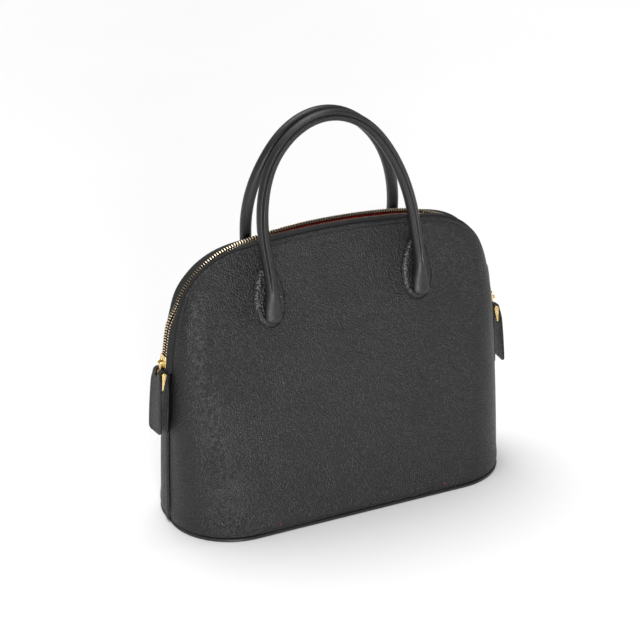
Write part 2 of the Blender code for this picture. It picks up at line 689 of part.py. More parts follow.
def build_tab(side, where, pin_place, hang):
    """Leather tab: a strap folded over the bar, with a slot at the fold that the link comes through."""
    fold = BAR_HALF_THICK + GAP + TAB_THICK / 2
    centre = BAR_TOP_ABOVE_PIN - BAR_HALF_THICK
    slot_low = centre - TAB_SLOT_DROP
    turn = np.linspace(0.0, math.pi, 9)
    path = np.vstack([
        [fold + TAB_OUTER_SPLAY, centre - TAB_DROP],
        [fold + TAB_OUTER_SPLAY * TAB_SLOT_DROP / TAB_DROP, slot_low],
        np.c_[fold * np.cos(turn), centre + fold * np.sin(turn)],
        [-fold + TAB_INNER_SPLAY, centre - TAB_DROP],
    ])
    reach = np.r_[0.0, np.cumsum(np.linalg.norm(np.diff(path, axis=0), axis=1))]
    corner = TAB_CORNER * (1.0 - np.cos(np.linspace(0.0, math.pi / 2, 4)))
    marks = np.r_[corner, reach[1:-1], reach[-1] - corner[::-1]]
    path = np.c_[np.interp(marks, reach, path[:, 0]), np.interp(marks, reach, path[:, 1])]
    into_corner = TAB_CORNER - np.clip(np.minimum(marks, reach[-1] - marks), 0.0, TAB_CORNER)
    half = TAB_WIDTH / 2 - TAB_CORNER + np.sqrt(np.clip(TAB_CORNER ** 2 - into_corner ** 2, 0.0, None))
    slot_half = LINK_WIDTH / 2 + 3 * GAP
    points = [
        pin_place + side * out * X_AXIS + y * Y_AXIS + up * Z_AXIS
        for (out, up), width in zip(path, half) for y in (-width, -slot_half, slot_half, width)
    ]

    def in_slot(row, column):
        (out, up), after = path[row], path[row + 1]
        return column == 1 and up > slot_low - GAP and after[1] > slot_low and out > -fold / 2

    faces = grid_faces(len(path), 4, in_slot)
    if side > 0:
        faces = [tuple(reversed(f)) for f in faces]
    wall(add(f"pull_tab_{where}", points, faces, "black_leather", hang), TAB_THICK, offset=0.0)


def build_pulls():
    """Both sliders with their links, bars, pins and tabs, each hung from the empties on its axes."""
    arc = ARCS[1]
    for side, where in ((-1.0, "left"), (1.0, "right")):
        axis = pivot(f"{where}_slider_axis", (side * arc.centre[0], 0.0, arc.centre[1]))
        bar_place = build_slider(side, where, axis)
        link_axis = pivot(f"{where}_link_axis", bar_place, axis)
        pin_place = build_link(where, bar_place, link_axis)
        tab_axis = pivot(f"{where}_tab_axis", pin_place, link_axis)
        build_bar_and_pin(where, pin_place, tab_axis)
        build_tab(side, where, pin_place, tab_axis)


def leg_place(height, radius):
    """Distance from the middle plane and height of a leg's middle where it lies on its patch."""
    stand = GAP + PATCH_THICK + GAP + radius
    deep = half_depth(HANDLE_HALF_SPAN, height)
    return deep + stand * math.cos(LEAN), height + stand * math.sin(LEAN)


def handle_path(side):
    """Places, headings and crosswise directions along a handle: up one leg, round and down the other.

    The legs are straight and run on into a half ellipse. The handle leans inwards up to the height
    where the two handles all but touch, runs on upright beside the other one from there, and sways
    to the left as a soft handle does.
    """
    axis_y, axis_z = leg_place(HANDLE_AXIS_HEIGHT, HANDLE_RADIUS)
    near = HANDLE_RADIUS + HANDLE_TOP_GAP / 2
    legs = np.linspace(0.0, HANDLE_LEG, 4)[:-1]
    turn = np.linspace(0.0, math.pi, ARCH_STEPS + 1)
    x = np.concatenate([np.full(3, -HANDLE_HALF_SPAN), -HANDLE_HALF_SPAN * np.cos(turn),
                        np.full(3, HANDLE_HALF_SPAN)])
    rise = np.concatenate([legs, HANDLE_LEG + (HANDLE_RISE - HANDLE_LEG) * np.sin(turn), legs[::-1]])
    share = rise / HANDLE_RISE
    x = x - HANDLE_SWAY * share * (SWAY_START - (SWAY_START - 1.0) * share)
    apart = 1.0 - rise / HANDLE_MEET
    apart = (apart + np.sqrt(apart ** 2 + MEET_SOFTNESS ** 2)) / (1.0 + math.sqrt(1.0 + MEET_SOFTNESS ** 2))
    y = -side * (near + (axis_y - near) * apart)
    places = np.stack([x, y, axis_z + rise], axis=1)
    headings = np.gradient(places, axis=0)
    headings[0] = places[1] - places[0]
    headings[-1] = places[-1] - places[-2]
    headings /= np.linalg.norm(headings, axis=1, keepdims=True)
    across = -Y_AXIS + np.sum(headings * Y_AXIS, axis=1, keepdims=True) * headings
    across /= np.linalg.norm(across, axis=1, keepdims=True)
    return places, headings, across


def ball_end_rings(places, headings, across, radius, bore, sides):
    """Rings of a tube whose two ends are cut from the hinge's ball, from the tube's radius to its bore."""
    ball = HANDLE_RADIUS
    turns = np.linspace(math.acos(bore / ball), math.acos(radius / ball), 4)
    first = [ring(places[0] - ball * math.sin(t) * headings[0], headings[0], across[0],
                  ball * math.cos(t), sides) for t in turns]
    middle = [ring(p, h, c, radius, sides) for p, h, c in zip(places[1:-1], headings[1:-1], across[1:-1])]
    last = [ring(places[-1] + ball * math.sin(t) * headings[-1], headings[-1], across[-1],
                 ball * math.cos(t), sides) for t in turns[::-1]]
    return first + middle + last


def build_handles():
    """Rolled handles: a leather tube with a rope core, turning on the tops of their sewn legs."""
    bore = HANDLE_RADIUS - HANDLE_WALL
    for side, where in ((1.0, "front"), (-1.0, "back")):
        places, headings, across = handle_path(side)
        hang = pivot(f"{where}_handle_axis", (0.0, places[0][1], places[0][2]))
        rings = ball_end_rings(places, headings, across, HANDLE_RADIUS, bore, TUBE_SIDES)
        inside = list(zip(places[1:-1], headings[1:-1], across[1:-1]))[::-1]
        rings += [ring(p, h, c, bore, TUBE_SIDES) for p, h, c in inside]
        add(f"{where}_handle", *rings_mesh(rings, loop=True), "handle_leather", hang)
        rings = ball_end_rings(places, headings, across, bore - GAP, 0.0, CORE_SIDES)
        add(f"{where}_handle_core", *rings_mesh(rings), "core_rope", hang)


def build_feet_and_patches():
    """Sewn leg ends and the patches that they lie on, four of each."""
    for side, where in ((1.0, "front"), (-1.0, "back")):
        for hand, end in ((-1.0, "left"), (1.0, "right")):
            build_foot(side, where, hand, end)
            build_patch(side, where, hand, end)


def build_foot(side, where, hand, end):
    """Leg end: a short tube along the patch with a round foot, up to the handle's ball."""
    low_y, low_z = leg_place(FOOT_LOW + FOOT_RADIUS, FOOT_RADIUS)
    axis_y, axis_z = leg_place(HANDLE_AXIS_HEIGHT, HANDLE_RADIUS)
    low = np.array([hand * HANDLE_HALF_SPAN, -side * low_y, low_z])
    axis = np.array([hand * HANDLE_HALF_SPAN, -side * axis_y, axis_z])
    heading = (axis - low) / np.linalg.norm(axis - low)
    top = axis - (HANDLE_RADIUS + GAP) * heading
    across = np.cross(X_AXIS, heading)
    rings = [ring(low - FOOT_RADIUS * math.sin(t) * heading, heading, across,
                  FOOT_RADIUS * math.cos(t), TUBE_SIDES) for t in np.linspace(math.pi / 2, 0.0, 5)]
    rings += [ring(low + (top - low) * share, heading, across,
                   FOOT_RADIUS + (HANDLE_RADIUS - FOOT_RADIUS) * share, TUBE_SIDES) for share in (0.5, 1.0)]
    add(f"handle_foot_{where}_{end}", *rings_mesh(rings), "handle_leather")


def patch_outline(turns):
    """Half widths and heights of the drop-shaped patch: a round foot and a slim, blunt tip."""
    low = PATCH_WIDEST - PATCH_LOW
    high = PATCH_HIGH - PATCH_WIDEST
    across = np.cos(turns)
    rise = np.sin(turns)
    slim = np.where(rise > 0.0, np.abs(across) ** 0.25, 1.0)
    return PATCH_HALF_WIDTH * across * slim, PATCH_WIDEST + np.where(rise > 0.0, high, low) * rise


def build_patch(side, where, hand, end):
    """Patch: a disc of leather lying on the panel's swell."""
    turns = np.linspace(0.0, 2.0 * math.pi, 24, endpoint=False)
    width, height = patch_outline(turns)
    rows = []
    for share in (1.0, 0.5):
        x = hand * HANDLE_HALF_SPAN + width * share
        z = PATCH_WIDEST + (height - PATCH_WIDEST) * share
        rows.append(np.c_[x, -half_depth(x, z), z] + GAP * OUTWARD)
    x, z = hand * HANDLE_HALF_SPAN, PATCH_WIDEST
    hub = np.array([x, -half_depth(x, z), z]) + GAP * OUTWARD
    count = len(turns)
    points = np.vstack([rows[0], rows[1], [hub]])
    faces = [(c, (c + 1) % count, count + (c + 1) % count, count + c) for c in range(count)]
    faces += [(count + c, count + (c + 1) % count, 2 * count) for c in range(count)]
    points, faces = mirrored(points, faces, side)
    wall(add(f"handle_patch_{where}_{end}", points, faces, "black_leather"), PATCH_THICK, offset=1.0)


lining_top = build_base()
build_panels(lining_top)
build_end_strips()
build_tapes()
build_teeth()
build_stops()
build_pulls()
build_handles()
build_feet_and_patches()
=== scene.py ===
import math

import bpy
import numpy as np
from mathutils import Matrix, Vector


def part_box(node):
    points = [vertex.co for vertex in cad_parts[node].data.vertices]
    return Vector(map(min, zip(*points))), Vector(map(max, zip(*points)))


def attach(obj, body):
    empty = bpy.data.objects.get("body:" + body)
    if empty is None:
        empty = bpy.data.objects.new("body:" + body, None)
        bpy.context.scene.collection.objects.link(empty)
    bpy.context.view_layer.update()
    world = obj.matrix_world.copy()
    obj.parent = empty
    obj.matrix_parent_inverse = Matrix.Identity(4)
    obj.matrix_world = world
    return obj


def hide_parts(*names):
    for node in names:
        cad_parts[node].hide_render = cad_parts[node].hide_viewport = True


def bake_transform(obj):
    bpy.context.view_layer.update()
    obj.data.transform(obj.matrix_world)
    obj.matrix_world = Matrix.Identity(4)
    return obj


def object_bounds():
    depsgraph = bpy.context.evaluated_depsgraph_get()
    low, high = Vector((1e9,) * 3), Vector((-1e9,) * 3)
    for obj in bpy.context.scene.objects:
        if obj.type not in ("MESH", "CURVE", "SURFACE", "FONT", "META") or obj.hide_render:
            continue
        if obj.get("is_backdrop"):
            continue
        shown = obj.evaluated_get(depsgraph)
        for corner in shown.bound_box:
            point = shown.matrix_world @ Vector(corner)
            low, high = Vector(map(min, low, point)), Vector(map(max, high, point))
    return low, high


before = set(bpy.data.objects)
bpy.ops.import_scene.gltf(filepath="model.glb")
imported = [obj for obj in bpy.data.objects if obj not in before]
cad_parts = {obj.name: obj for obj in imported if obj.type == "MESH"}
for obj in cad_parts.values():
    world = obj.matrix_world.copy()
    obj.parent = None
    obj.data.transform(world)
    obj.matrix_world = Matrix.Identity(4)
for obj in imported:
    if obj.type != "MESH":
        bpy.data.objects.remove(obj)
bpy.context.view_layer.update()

# A domed handbag of pebbled black leather with two rolled handles, standing with its zip open.
# Metres, +Z up, -Y the front. A place along the bag's outline is its distance from the crown,
# negative to the left. Each section below is one piece of the bag, or a group of like pieces.


# ---------------------------------------------------------------- Outer panels
# Front and back are each one piece of pebbled cowhide with its backing, drawn over the shoulders to
# the zip. The edge there is turned under and sewn down, and the foot is tucked in on the base.

BASE_HALF_WIDTH = 0.165
BASE_HALF_DEPTH = 0.0648
OUTLINE_RADII = np.array([2.36, 0.275, 0.0791, 0.627])
SIDE_TURN, LOWER_SHOULDER_TURN = np.radians([3.66, 8.76])
SEAM_INSET = 0.0021
PANEL_CROWN = 0.0025
ROLL_LEAST = 0.012
ROLL_SHARE = 0.9
ROLL_FROM_SEAM_LEAST = 0.023
LEATHER_THICK = 0.0020
LEATHER_FOOT = 0.0025
PANEL_BUTT = 0.0005
FOOT_SPREAD = 0.085
ZIP_FOOT = 0.1507
SEAM_FROM_ROW = 0.0059
SEAM_CLOSING = 0.013
EDGE_GAP_END = 0.0029
EDGE_GAP_TOP = 0.0052
MOUTH_HALF_WIDTH = 0.133
CROWN_RAISES = {1: 0.0007, -1: -0.0008}
SHOULDER_RAISE, FOOT_RAISE = 0.0037, 0.0006
# Start and length, from the crown, of the stretches where the raised edge changes
CROWN_TO_SHOULDER, SHOULDER_TO_FOOT = (0.080, 0.055), (0.148, 0.035)
PANEL_COLUMNS = 375
NEEDLE_LINE = 0.0037
FOOT_TUCK, FOOT_TUCK_WIDE = 0.0004, 0.0015
FOOT_BULGE, FOOT_BULGE_AT, FOOT_BULGE_WIDE = 0.0007, 0.0105, 0.006
TURNED_EDGE_AT = np.array([0.0, 0.25, 0.6, 1.0, 1.8, 2.6, 3.05, 3.4, 3.7, 4.0, 4.4, 5.2, 6.5, 8.5]) / 1000
TURNED_EDGE_OUT = np.array([-0.6, -0.22, 0.08, 0.22, 0.26, 0.20, 0.02, -0.26, -0.36, -0.26, 0.0, 0.12, 0.06, 0.0])
TURNED_EDGE_OUT = TURNED_EDGE_OUT / 1000


def joined(*parts):
    """Numbers or arrays set side by side as the coordinates of points."""
    return np.stack(np.broadcast_arrays(*parts), axis=-1)


def at_depth(spot, y):
    """Places (x, z) in the outline's plane, moved to a depth y."""
    return joined(spot[..., 0], y, spot[..., 1])


def facing(angle):
    """Unit vectors (cos, sin) at angles."""
    return joined(np.cos(angle), np.sin(angle))


def unit(vectors):
    """Vectors scaled to a length of one."""
    return vectors / np.linalg.norm(vectors, axis=-1, keepdims=True)


def lengths_along(points, axis=0):
    """Length from the first point up to each one, along one axis of an array of points."""
    steps = np.linalg.norm(np.diff(points, axis=axis), axis=-1)
    return np.insert(np.cumsum(steps, axis=axis), 0, 0.0, axis=axis)


def outline_arcs():
    """The right half of the outline from the ground up as four arcs: centres, first angles and first
    lengths. Each centre lies on the radius where the last arc ends, and the crown's on the middle."""
    radii = OUTLINE_RADII
    angles = [0.0, SIDE_TURN, SIDE_TURN + LOWER_SHOULDER_TURN]
    centres = [np.array([BASE_HALF_WIDTH - radii[0], 0.0])]
    for k in (0, 1):
        turned = np.array([math.cos(angles[k + 1]), math.sin(angles[k + 1])])
        centres.append(centres[k] + (radii[k] - radii[k + 1]) * turned)
    angles.append(math.acos(centres[2][0] / (radii[3] - radii[2])))
    turned = np.array([math.cos(angles[3]), math.sin(angles[3])])
    centres.append(centres[2] + (radii[2] - radii[3]) * turned)
    lengths = radii * np.diff([*angles, math.pi / 2])
    return np.array(centres), np.array(angles), np.r_[0.0, np.cumsum(lengths)]


ARC_CENTRES, ARC_ANGLES, ARC_STARTS = outline_arcs()
HALF_LENGTH = ARC_STARTS[-1]
CROWN_HEIGHT = ARC_CENTRES[3][1] + OUTLINE_RADII[3]


def outline(along, inset=0.0):
    """Points (x, z) and outward normals of the outline: point = arc centre + (radius - inset) times
    the unit vector at the arc's first angle + length / radius."""
    along = np.asarray(along, float)
    up = np.clip(HALF_LENGTH - np.abs(along), 0.0, HALF_LENGTH - 1e-9)
    arc = np.searchsorted(ARC_STARTS, up, side="right") - 1
    angle = ARC_ANGLES[arc] + (up - ARC_STARTS[arc]) / OUTLINE_RADII[arc]
    normal = facing(angle)
    point = ARC_CENTRES[arc] + (OUTLINE_RADII[arc] - inset)[..., None] * normal
    mirror = joined(np.where(along < 0, -1.0, 1.0), np.ones_like(along))
    return point * mirror, normal * mirror


def smooth_share(value):
    """Goes from 0 to 1 as value does, level at both ends: 3t^2 - 2t^3."""
    t = np.clip(value, 0.0, 1.0)
    return t * t * (3.0 - 2.0 * t)


def over_run(value, run):
    """Goes smoothly from 0 to 1 as value passes a run, which is given by its start and its length."""
    start, length = run
    return smooth_share((value - start) / length)


def hump(value, middle, wide):
    """A soft hump of height one: exp(-((value - middle) / wide)^2)."""
    return np.exp(-((value - middle) / wide) ** 2)


def edge_gap(along):
    """Distance from the middle plane to where a closed tooth row would lie, wider towards the crown by
    (1 - (x / mouth)^2)^1.5. The panel's edge stands a seam's width outside it."""
    x = outline(along)[0][..., 0]
    open_share = np.clip(1.0 - (x / MOUTH_HALF_WIDTH) ** 2, 0.0, 1.0) ** 1.5
    return EDGE_GAP_END + (EDGE_GAP_TOP - EDGE_GAP_END) * open_share


def edge_raise(along, side):
    """How far a panel's turned edge stands up: most on the shoulders, least at the back of the crown."""
    a = np.abs(along)
    crown = CROWN_RAISES[side] + (SHOULDER_RAISE - CROWN_RAISES[side]) * over_run(a, CROWN_TO_SHOULDER)
    return FOOT_RAISE + (crown - FOOT_RAISE) * (1.0 - over_run(a, SHOULDER_TO_FOOT))


def half_depth(x, z):
    """Distance from the middle plane to a panel's flat part: straight from base to crown, plus a swell
    of (1 - (x / half width)^2) * sin(pi z / height)."""
    crown_half_depth = EDGE_GAP_TOP + SEAM_FROM_ROW
    flat = BASE_HALF_DEPTH + (crown_half_depth - BASE_HALF_DEPTH) * z / CROWN_HEIGHT
    across_share = np.clip(1.0 - (x / BASE_HALF_WIDTH) ** 2, 0.0, 1.0)
    return flat + PANEL_CROWN * across_share * np.sin(np.pi * np.clip(z / CROWN_HEIGHT, 0.0, 1.0))


def panel_lines(along, foot, side):
    """Lines on a panel's face from its edge to its foot, one for each place along the outline.

    The first point is the edge. Then a quarter ellipse rolls from the Y direction to the flat part,
    and a straight run goes over the swell to the foot, spread along it in the outline's order.
    """
    edge, normal = outline(along, SEAM_INSET - edge_raise(along, side))
    start = edge_gap(along) + SEAM_FROM_ROW
    deep = half_depth(edge[:, 0], edge[:, 1])
    rise = np.maximum(deep - start, ROLL_LEAST)
    first = np.arcsin(np.minimum(1.0, 1.0 - (deep - start) / rise))
    share = np.linspace(0.0, 1.0, 60)
    roll = first[:, None] + (math.pi / 2 - first)[:, None] * share
    swing = (ROLL_SHARE * deep)[:, None] * (np.cos(first)[:, None] - np.cos(roll))
    flat = edge[:, None] - swing[..., None] * normal[:, None]
    x, z = flat[..., 0], flat[..., 1]
    depth = start[:, None] + rise[:, None] * (np.sin(roll) - np.sin(first)[:, None])
    rolled = joined(x, -(depth + half_depth(x, z) - deep[:, None]), z)
    closed_share = smooth_share((HALF_LENGTH - np.abs(along) - ZIP_FOOT + SEAM_CLOSING) / SEAM_CLOSING)
    seam = PANEL_BUTT + (start - PANEL_BUTT) * closed_share
    butt = at_depth(edge, -seam)[:, None]
    landing = joined(FOOT_SPREAD * along / HALF_LENGTH, np.full_like(along, foot))
    run = flat[:, -1:] + (landing - flat[:, -1])[:, None] * share[1:, None]
    level = joined(run[..., 0], -half_depth(run[..., 0], run[..., 1]), run[..., 1])
    return np.concatenate([butt, rolled, level], axis=1), rolled.shape[1]


def walk(lines, reach):
    """Points at distances along an array of lines, straight between the points of each line."""
    total = lengths_along(lines, 1)
    after = np.clip((total[:, :, None] < reach[:, None, :]).sum(axis=1), 1, lines.shape[1] - 1)
    line = np.arange(len(lines))[:, None]
    step = np.maximum(total[line, after] - total[line, after - 1], 1e-9)
    share = ((reach - total[line, after - 1]) / step)[..., None]
    return lines[line, after - 1] * (1.0 - share) + lines[line, after] * share


def panel_grid(along, foot, side, edge_reach, roll_rows, flat_rows):
    """The panel's face as rows of points: the given distances from the edge, then even steps to the
    roll's end, then steps that shorten towards the foot."""
    lines, rolled = panel_lines(along, foot, side)
    steps = np.linalg.norm(np.diff(lines, axis=1), axis=2)
    whole = steps.sum(axis=1)
    last = np.maximum(steps[:, :rolled].sum(axis=1), ROLL_FROM_SEAM_LEAST)
    t = np.linspace(0.0, 1.0, roll_rows + 1)[1:]
    over = edge_reach[-1] + (last[:, None] - edge_reach[-1]) * t
    t = np.linspace(0.0, 1.0, flat_rows + 1)[1:]
    down = last[:, None] + (whole - last)[:, None] * (1.0 - (1.0 - t) ** 1.7)
    reach = np.concatenate([np.tile(edge_reach, (len(along), 1)), over, down], axis=1)
    return walk(lines, reach).transpose(1, 0, 2)


def face_normals(grid):
    """Outward normals of a grid whose rows run left to right and step inwards: (step in) x (step right)."""
    return unit(np.cross(np.gradient(grid, axis=0), np.gradient(grid, axis=1)))


def swell(x, z, bumps):
    """Soft bumps and hollows of slack leather, each out * exp(-((x - x0) / wide)^2 - ((z - z0) / tall)^2)."""
    x0, z0, wide, tall, out = np.array(bumps).T / 1000
    return (out * np.exp(-((x[..., None] - x0) / wide) ** 2 - ((z[..., None] - z0) / tall) ** 2)).sum(axis=-1)


def net(rows, columns, ring_rows=False, ring_columns=False):
    """Quads between neighbours of a grid stored row by row, joined up with itself where it is a ring."""
    r, c = np.meshgrid(np.arange(rows - (not ring_rows)), np.arange(columns - (not ring_columns)), indexing="ij")
    below, right = (r + 1) % rows, (c + 1) % columns
    quads = [r * columns + c, r * columns + right, below * columns + right, below * columns + c]
    return np.stack(quads, axis=-1).reshape(-1, 4)


def sheet(grid, turn=1):
    """A grid's points and quads, with the quads turned over where turn is -1."""
    return grid, [net(*grid.shape[:2])[:, ::turn]]


def placed(shape, origin, axes):
    """A shape set at an origin along three axes, with its faces turned over where the axes mirror it."""
    points, faces = shape
    points = np.asarray(origin) + np.reshape(points, (-1, 3)) @ np.array(axes, float)
    return points, [f[:, ::-1] for f in faces] if np.linalg.det(axes) < 0 else faces


def piece(name, shape, finish, crease_deg=50.0):
    """Makes one object in its place from points and faces, smooth but for its sharper edges."""
    points, faces = shape
    mesh = bpy.data.meshes.new(name)
    mesh.from_pydata(np.reshape(points, (-1, 3)).tolist(), [], [f for part in faces for f in part.tolist()])
    mesh.materials.append(finish)
    mesh.shade_smooth()
    mesh.set_sharp_from_angle(angle=math.radians(crease_deg))
    item = bpy.data.objects.new(name, mesh)
    bpy.context.scene.collection.objects.link(item)
    return item


def thicken(item, thickness, offset=-1.0):
    """Gives a sheet its thickness, behind its face unless the offset says otherwise."""
    solid = item.modifiers.new("thickness", "SOLIDIFY")
    solid.thickness, solid.offset = thickness, offset
    return item


def node(tree, kind, sockets=(), **settings):
    """Adds a shader node. Each socket takes a value or the output that feeds it."""
    new = tree.nodes.new("ShaderNode" + kind)
    for key, value in settings.items():
        setattr(new, key, value)
    for key, value in dict(sockets).items():
        if isinstance(value, bpy.types.NodeSocket):
            tree.links.new(value, new.inputs[key])
        else:
            new.inputs[key].default_value = value
    return new


def new_finish(name, roughness, **settings):
    """A Principled material and its node tree. Settings name the shader's sockets with _ for a space."""
    material = bpy.data.materials.new(name)
    material.use_nodes = True
    shader = material.node_tree.nodes["Principled BSDF"]
    for key, value in {"Roughness": roughness, **settings}.items():
        shader.inputs[key.replace("_", " ")].default_value = value
    return material, material.node_tree


def finished(material, colour, normal=None, rough=None):
    """Feeds a material its colour, and its bump and roughness where they are given."""
    tree = material.node_tree
    for key, value in (("Base Color", colour), ("Normal", normal), ("Roughness", rough)):
        if value is not None:
            tree.links.new(value, tree.nodes["Principled BSDF"].inputs[key])
    return material


def place_on(tree, attribute=None):
    """Where a pattern is read from: the object's own coordinates, or a vector kept on its points."""
    if attribute:
        return node(tree, "Attribute", attribute_name=attribute).outputs["Vector"]
    return node(tree, "TexCoord").outputs["Object"]


def noise_on(tree, place, **sockets):
    """Noise between 0 and 1, its scale in cells a metre."""
    return node(tree, "TexNoise", {"Vector": place, **sockets}).outputs["Fac"]


def ribs_on(tree, place, direction, **sockets):
    """Parallel ribs between 0 and 1 that follow each other in a direction."""
    return node(tree, "TexWave", {"Vector": place, **sockets}, bands_direction=direction).outputs["Fac"]


def math_of(tree, operation, *values):
    """Two or three values put through one of the shader's sums."""
    return node(tree, "Math", dict(enumerate(values)), operation=operation).outputs[0]


def bump_of(tree, height, distance, strength=1.0):
    """The normals of a surface that rises by a distance where the height is one."""
    return node(tree, "Bump", {"Strength": strength, "Distance": distance, "Height": height}).outputs[0]


def mix_of(tree, share, low, high, low_at=0.0, high_at=1.0):
    """A value that goes from low to high while share goes from low_at to high_at."""
    sockets = {0: share, 1: low_at, 2: high_at, 3: low, 4: high}
    return node(tree, "MapRange", sockets).outputs[0]


def colours_of(tree, share, low, high, low_at=0.0, high_at=1.0):
    """A colour that goes from low to high while share goes from low_at to high_at."""
    ramp = node(tree, "ValToRGB", {0: share})
    for stop, at, colour in zip(ramp.color_ramp.elements, (low_at, high_at), (low, high)):
        stop.position, stop.color = at, (*colour, 1.0)
    return ramp.outputs[0]


def pebbled_leather(name, hollow, crest, roughness, pebbles_per_m, depth, attribute=None, gloss=0.5):
    """Grained hide: pebbles are the rounded cells of a warped Voronoi pattern, broken by fine creases.
    Hollows and creases are painted darker than crests, as shade, and are duller; broad noise makes the sheen uneven."""
    material, tree = new_finish(name, roughness, Specular_IOR_Level=gloss)
    place = place_on(tree, attribute)
    warp = node(tree, "TexNoise", {"Vector": place, "Scale": 260.0, "Detail": 1.0}).outputs["Color"]
    strayed = node(tree, "VectorMath", {0: warp, 1: (0.0009,) * 3, 2: place}, operation="MULTIPLY_ADD").outputs[0]
    cells = node(tree, "TexVoronoi", {"Vector": strayed, "Scale": pebbles_per_m}, feature="F1")
    pebble = mix_of(tree, cells.outputs["Distance"], 1.0, 0.0, 0.08, 0.75)
    crease = noise_on(tree, place, Scale=pebbles_per_m * 0.42, Detail=3.0)
    height = math_of(tree, "MULTIPLY", pebble, mix_of(tree, crease, 0.45, 1.0, 0.35, 0.60))
    patches = noise_on(tree, place, Scale=17.0, Detail=3.0)
    normal = bump_of(tree, height, depth, mix_of(tree, patches, 0.55, 1.0, 0.38, 0.62))
    dull = mix_of(tree, height, roughness + 0.14, roughness - 0.04)
    rough = math_of(tree, "ADD", dull, math_of(tree, "MULTIPLY_ADD", patches, 0.12, -0.06))
    # Painted shade: the colour runs from dark in the hollows to lighter on the crests.
    return finished(material, colours_of(tree, height, hollow, crest), normal, rough)


panel_leather = pebbled_leather("panel_leather", (0.0055, 0.0055, 0.006), (0.013, 0.013, 0.0137), 0.36, 640.0, 0.00080,
                                gloss=0.44)

# Centre x, centre z, width, height and depth of each bump, in mm
FRONT_SWELLS = [
    (-95, 60, 45, 60, 1.0), (-20, 95, 50, 60, -0.9), (70, 60, 50, 45, 0.8), (120, 120, 26, 60, -0.7),
    (-135, 120, 22, 60, -0.6), (0, 200, 60, 22, -0.6), (-60, 12, 40, 7, 0.5), (95, 12, 45, 7, 0.4),
    (30, 40, 35, 16, -0.5), (-72, 170, 26, 18, 0.5), (72, 170, 26, 18, 0.5),
]
BACK_SWELLS = [
    (80, 70, 50, 55, 0.9), (0, 90, 60, 60, -0.8), (-85, 60, 45, 50, 0.8), (-125, 130, 24, 60, -0.6),
    (130, 120, 22, 55, -0.5), (0, 200, 60, 22, -0.5), (50, 12, 45, 7, 0.5), (-90, 12, 45, 7, 0.5),
    (-72, 170, 26, 18, 0.5), (72, 170, 26, 18, 0.5),
]

panel_reach = HALF_LENGTH - LEATHER_FOOT
panel_along = np.linspace(-panel_reach, panel_reach, PANEL_COLUMNS)
seam_rows = {}
FRONT_AND_BACK = (1, "front"), (-1, "back")
for side, where, bumps in ((1, "front", FRONT_SWELLS), (-1, "back", BACK_SWELLS)):
    face = panel_grid(panel_along, LEATHER_FOOT, side, TURNED_EDGE_AT, 16, 26)
    normal = face_normals(face)
    x, z = face[..., 0], face[..., 2]
    by_zip = smooth_share((HALF_LENGTH - np.abs(panel_along) - ZIP_FOOT + 0.004) / 0.010)
    out = np.zeros(face.shape[:2])
    out[:len(TURNED_EDGE_AT)] = TURNED_EDGE_OUT[:, None] * by_zip
    out -= FOOT_TUCK * hump(z, LEATHER_FOOT, FOOT_TUCK_WIDE)
    out += FOOT_BULGE * hump(z, FOOT_BULGE_AT, FOOT_BULGE_WIDE)
    clear_of_edge = smooth_share(np.arange(len(face)) / len(TURNED_EDGE_AT) - 0.8)[:, None]
    out += clear_of_edge * swell(x, z, bumps)
    face = face + out[..., None] * normal
    shape = placed(sheet(face, -1), 0.0, np.diag([1, side, 1]))
    panel = thicken(piece(f"{where}_leather", shape, panel_leather, 70.0), LEATHER_THICK)
    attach(panel, "bag_body")
    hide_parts(f"{where}_panel")
    needle_row = int(np.argmin(np.abs(TURNED_EDGE_AT - NEEDLE_LINE)))
    zipped = np.abs(panel_along) < HALF_LENGTH - ZIP_FOOT + 0.003
    seam_rows[where] = [a[needle_row][zipped] * [1, side, 1] for a in (face, normal)]


# ---------------------------------------------------------------- Sewing thread
# Waxed black polyester thread, sewn by machine with stitches of about 3 mm. One row holds the turned
# edge of each panel to the zip tape, and later sections use the same thread.

STITCH_PITCH = 0.0031
STITCH_LENGTH = 0.0026
THREAD_RADIUS = 0.00036


def tube(rings):
    """A tube's points and faces, closed at both ends, from rings (rings, sides, 3) that turn
    anticlockwise as its far end is looked at."""
    count, sides = rings.shape[:2]
    ring = np.arange(sides)
    faces = [net(count, sides, ring_columns=True), ring[None, ::-1], ring[None] + (count - 1) * sides]
    return rings.reshape(-1, 3), faces


def full_turn(steps):
    """Even angles once round, from 0 up."""
    return np.linspace(0.0, 2.0 * math.pi, steps, endpoint=False)


def stitch_shape(length, radius, sides=6):
    """One stitch along X: its middle arches out of the leather and back in as 0.8 - 2 (2t - 1)^4 radii,
    and its thickness shrinks by a fifth towards both ends."""
    t = np.linspace(0.0, 1.0, 5)[:, None]
    turn = full_turn(sides)
    thick = radius * (1.0 - 0.2 * (2 * t - 1) ** 2)
    x = (t - 0.5) * length
    y = thick * np.cos(turn)
    z = radius * (0.8 - 2.0 * (2 * t - 1) ** 4) + thick * np.sin(turn)
    return tube(joined(x, y, z))


def repeated(shape, places, across, out):
    """A small shape at many places at once: place + x * (across x out) + y * across + z * out."""
    points, faces = shape
    along = np.cross(across, out)
    set_out = (points[None, :, 0:1] * along[:, None] + points[None, :, 1:2] * across[:, None]
               + points[None, :, 2:3] * out[:, None])
    first = (np.arange(len(places)) * len(points))[:, None, None]
    return (places[:, None] + set_out).reshape(-1, 3), [(f[None] + first).reshape(-1, f.shape[1]) for f in faces]


def between(values, total, at):
    """Rows of values, known at each total length of a path, read in between at other lengths."""
    return joined(*(np.interp(at, total, column) for column in values.T))


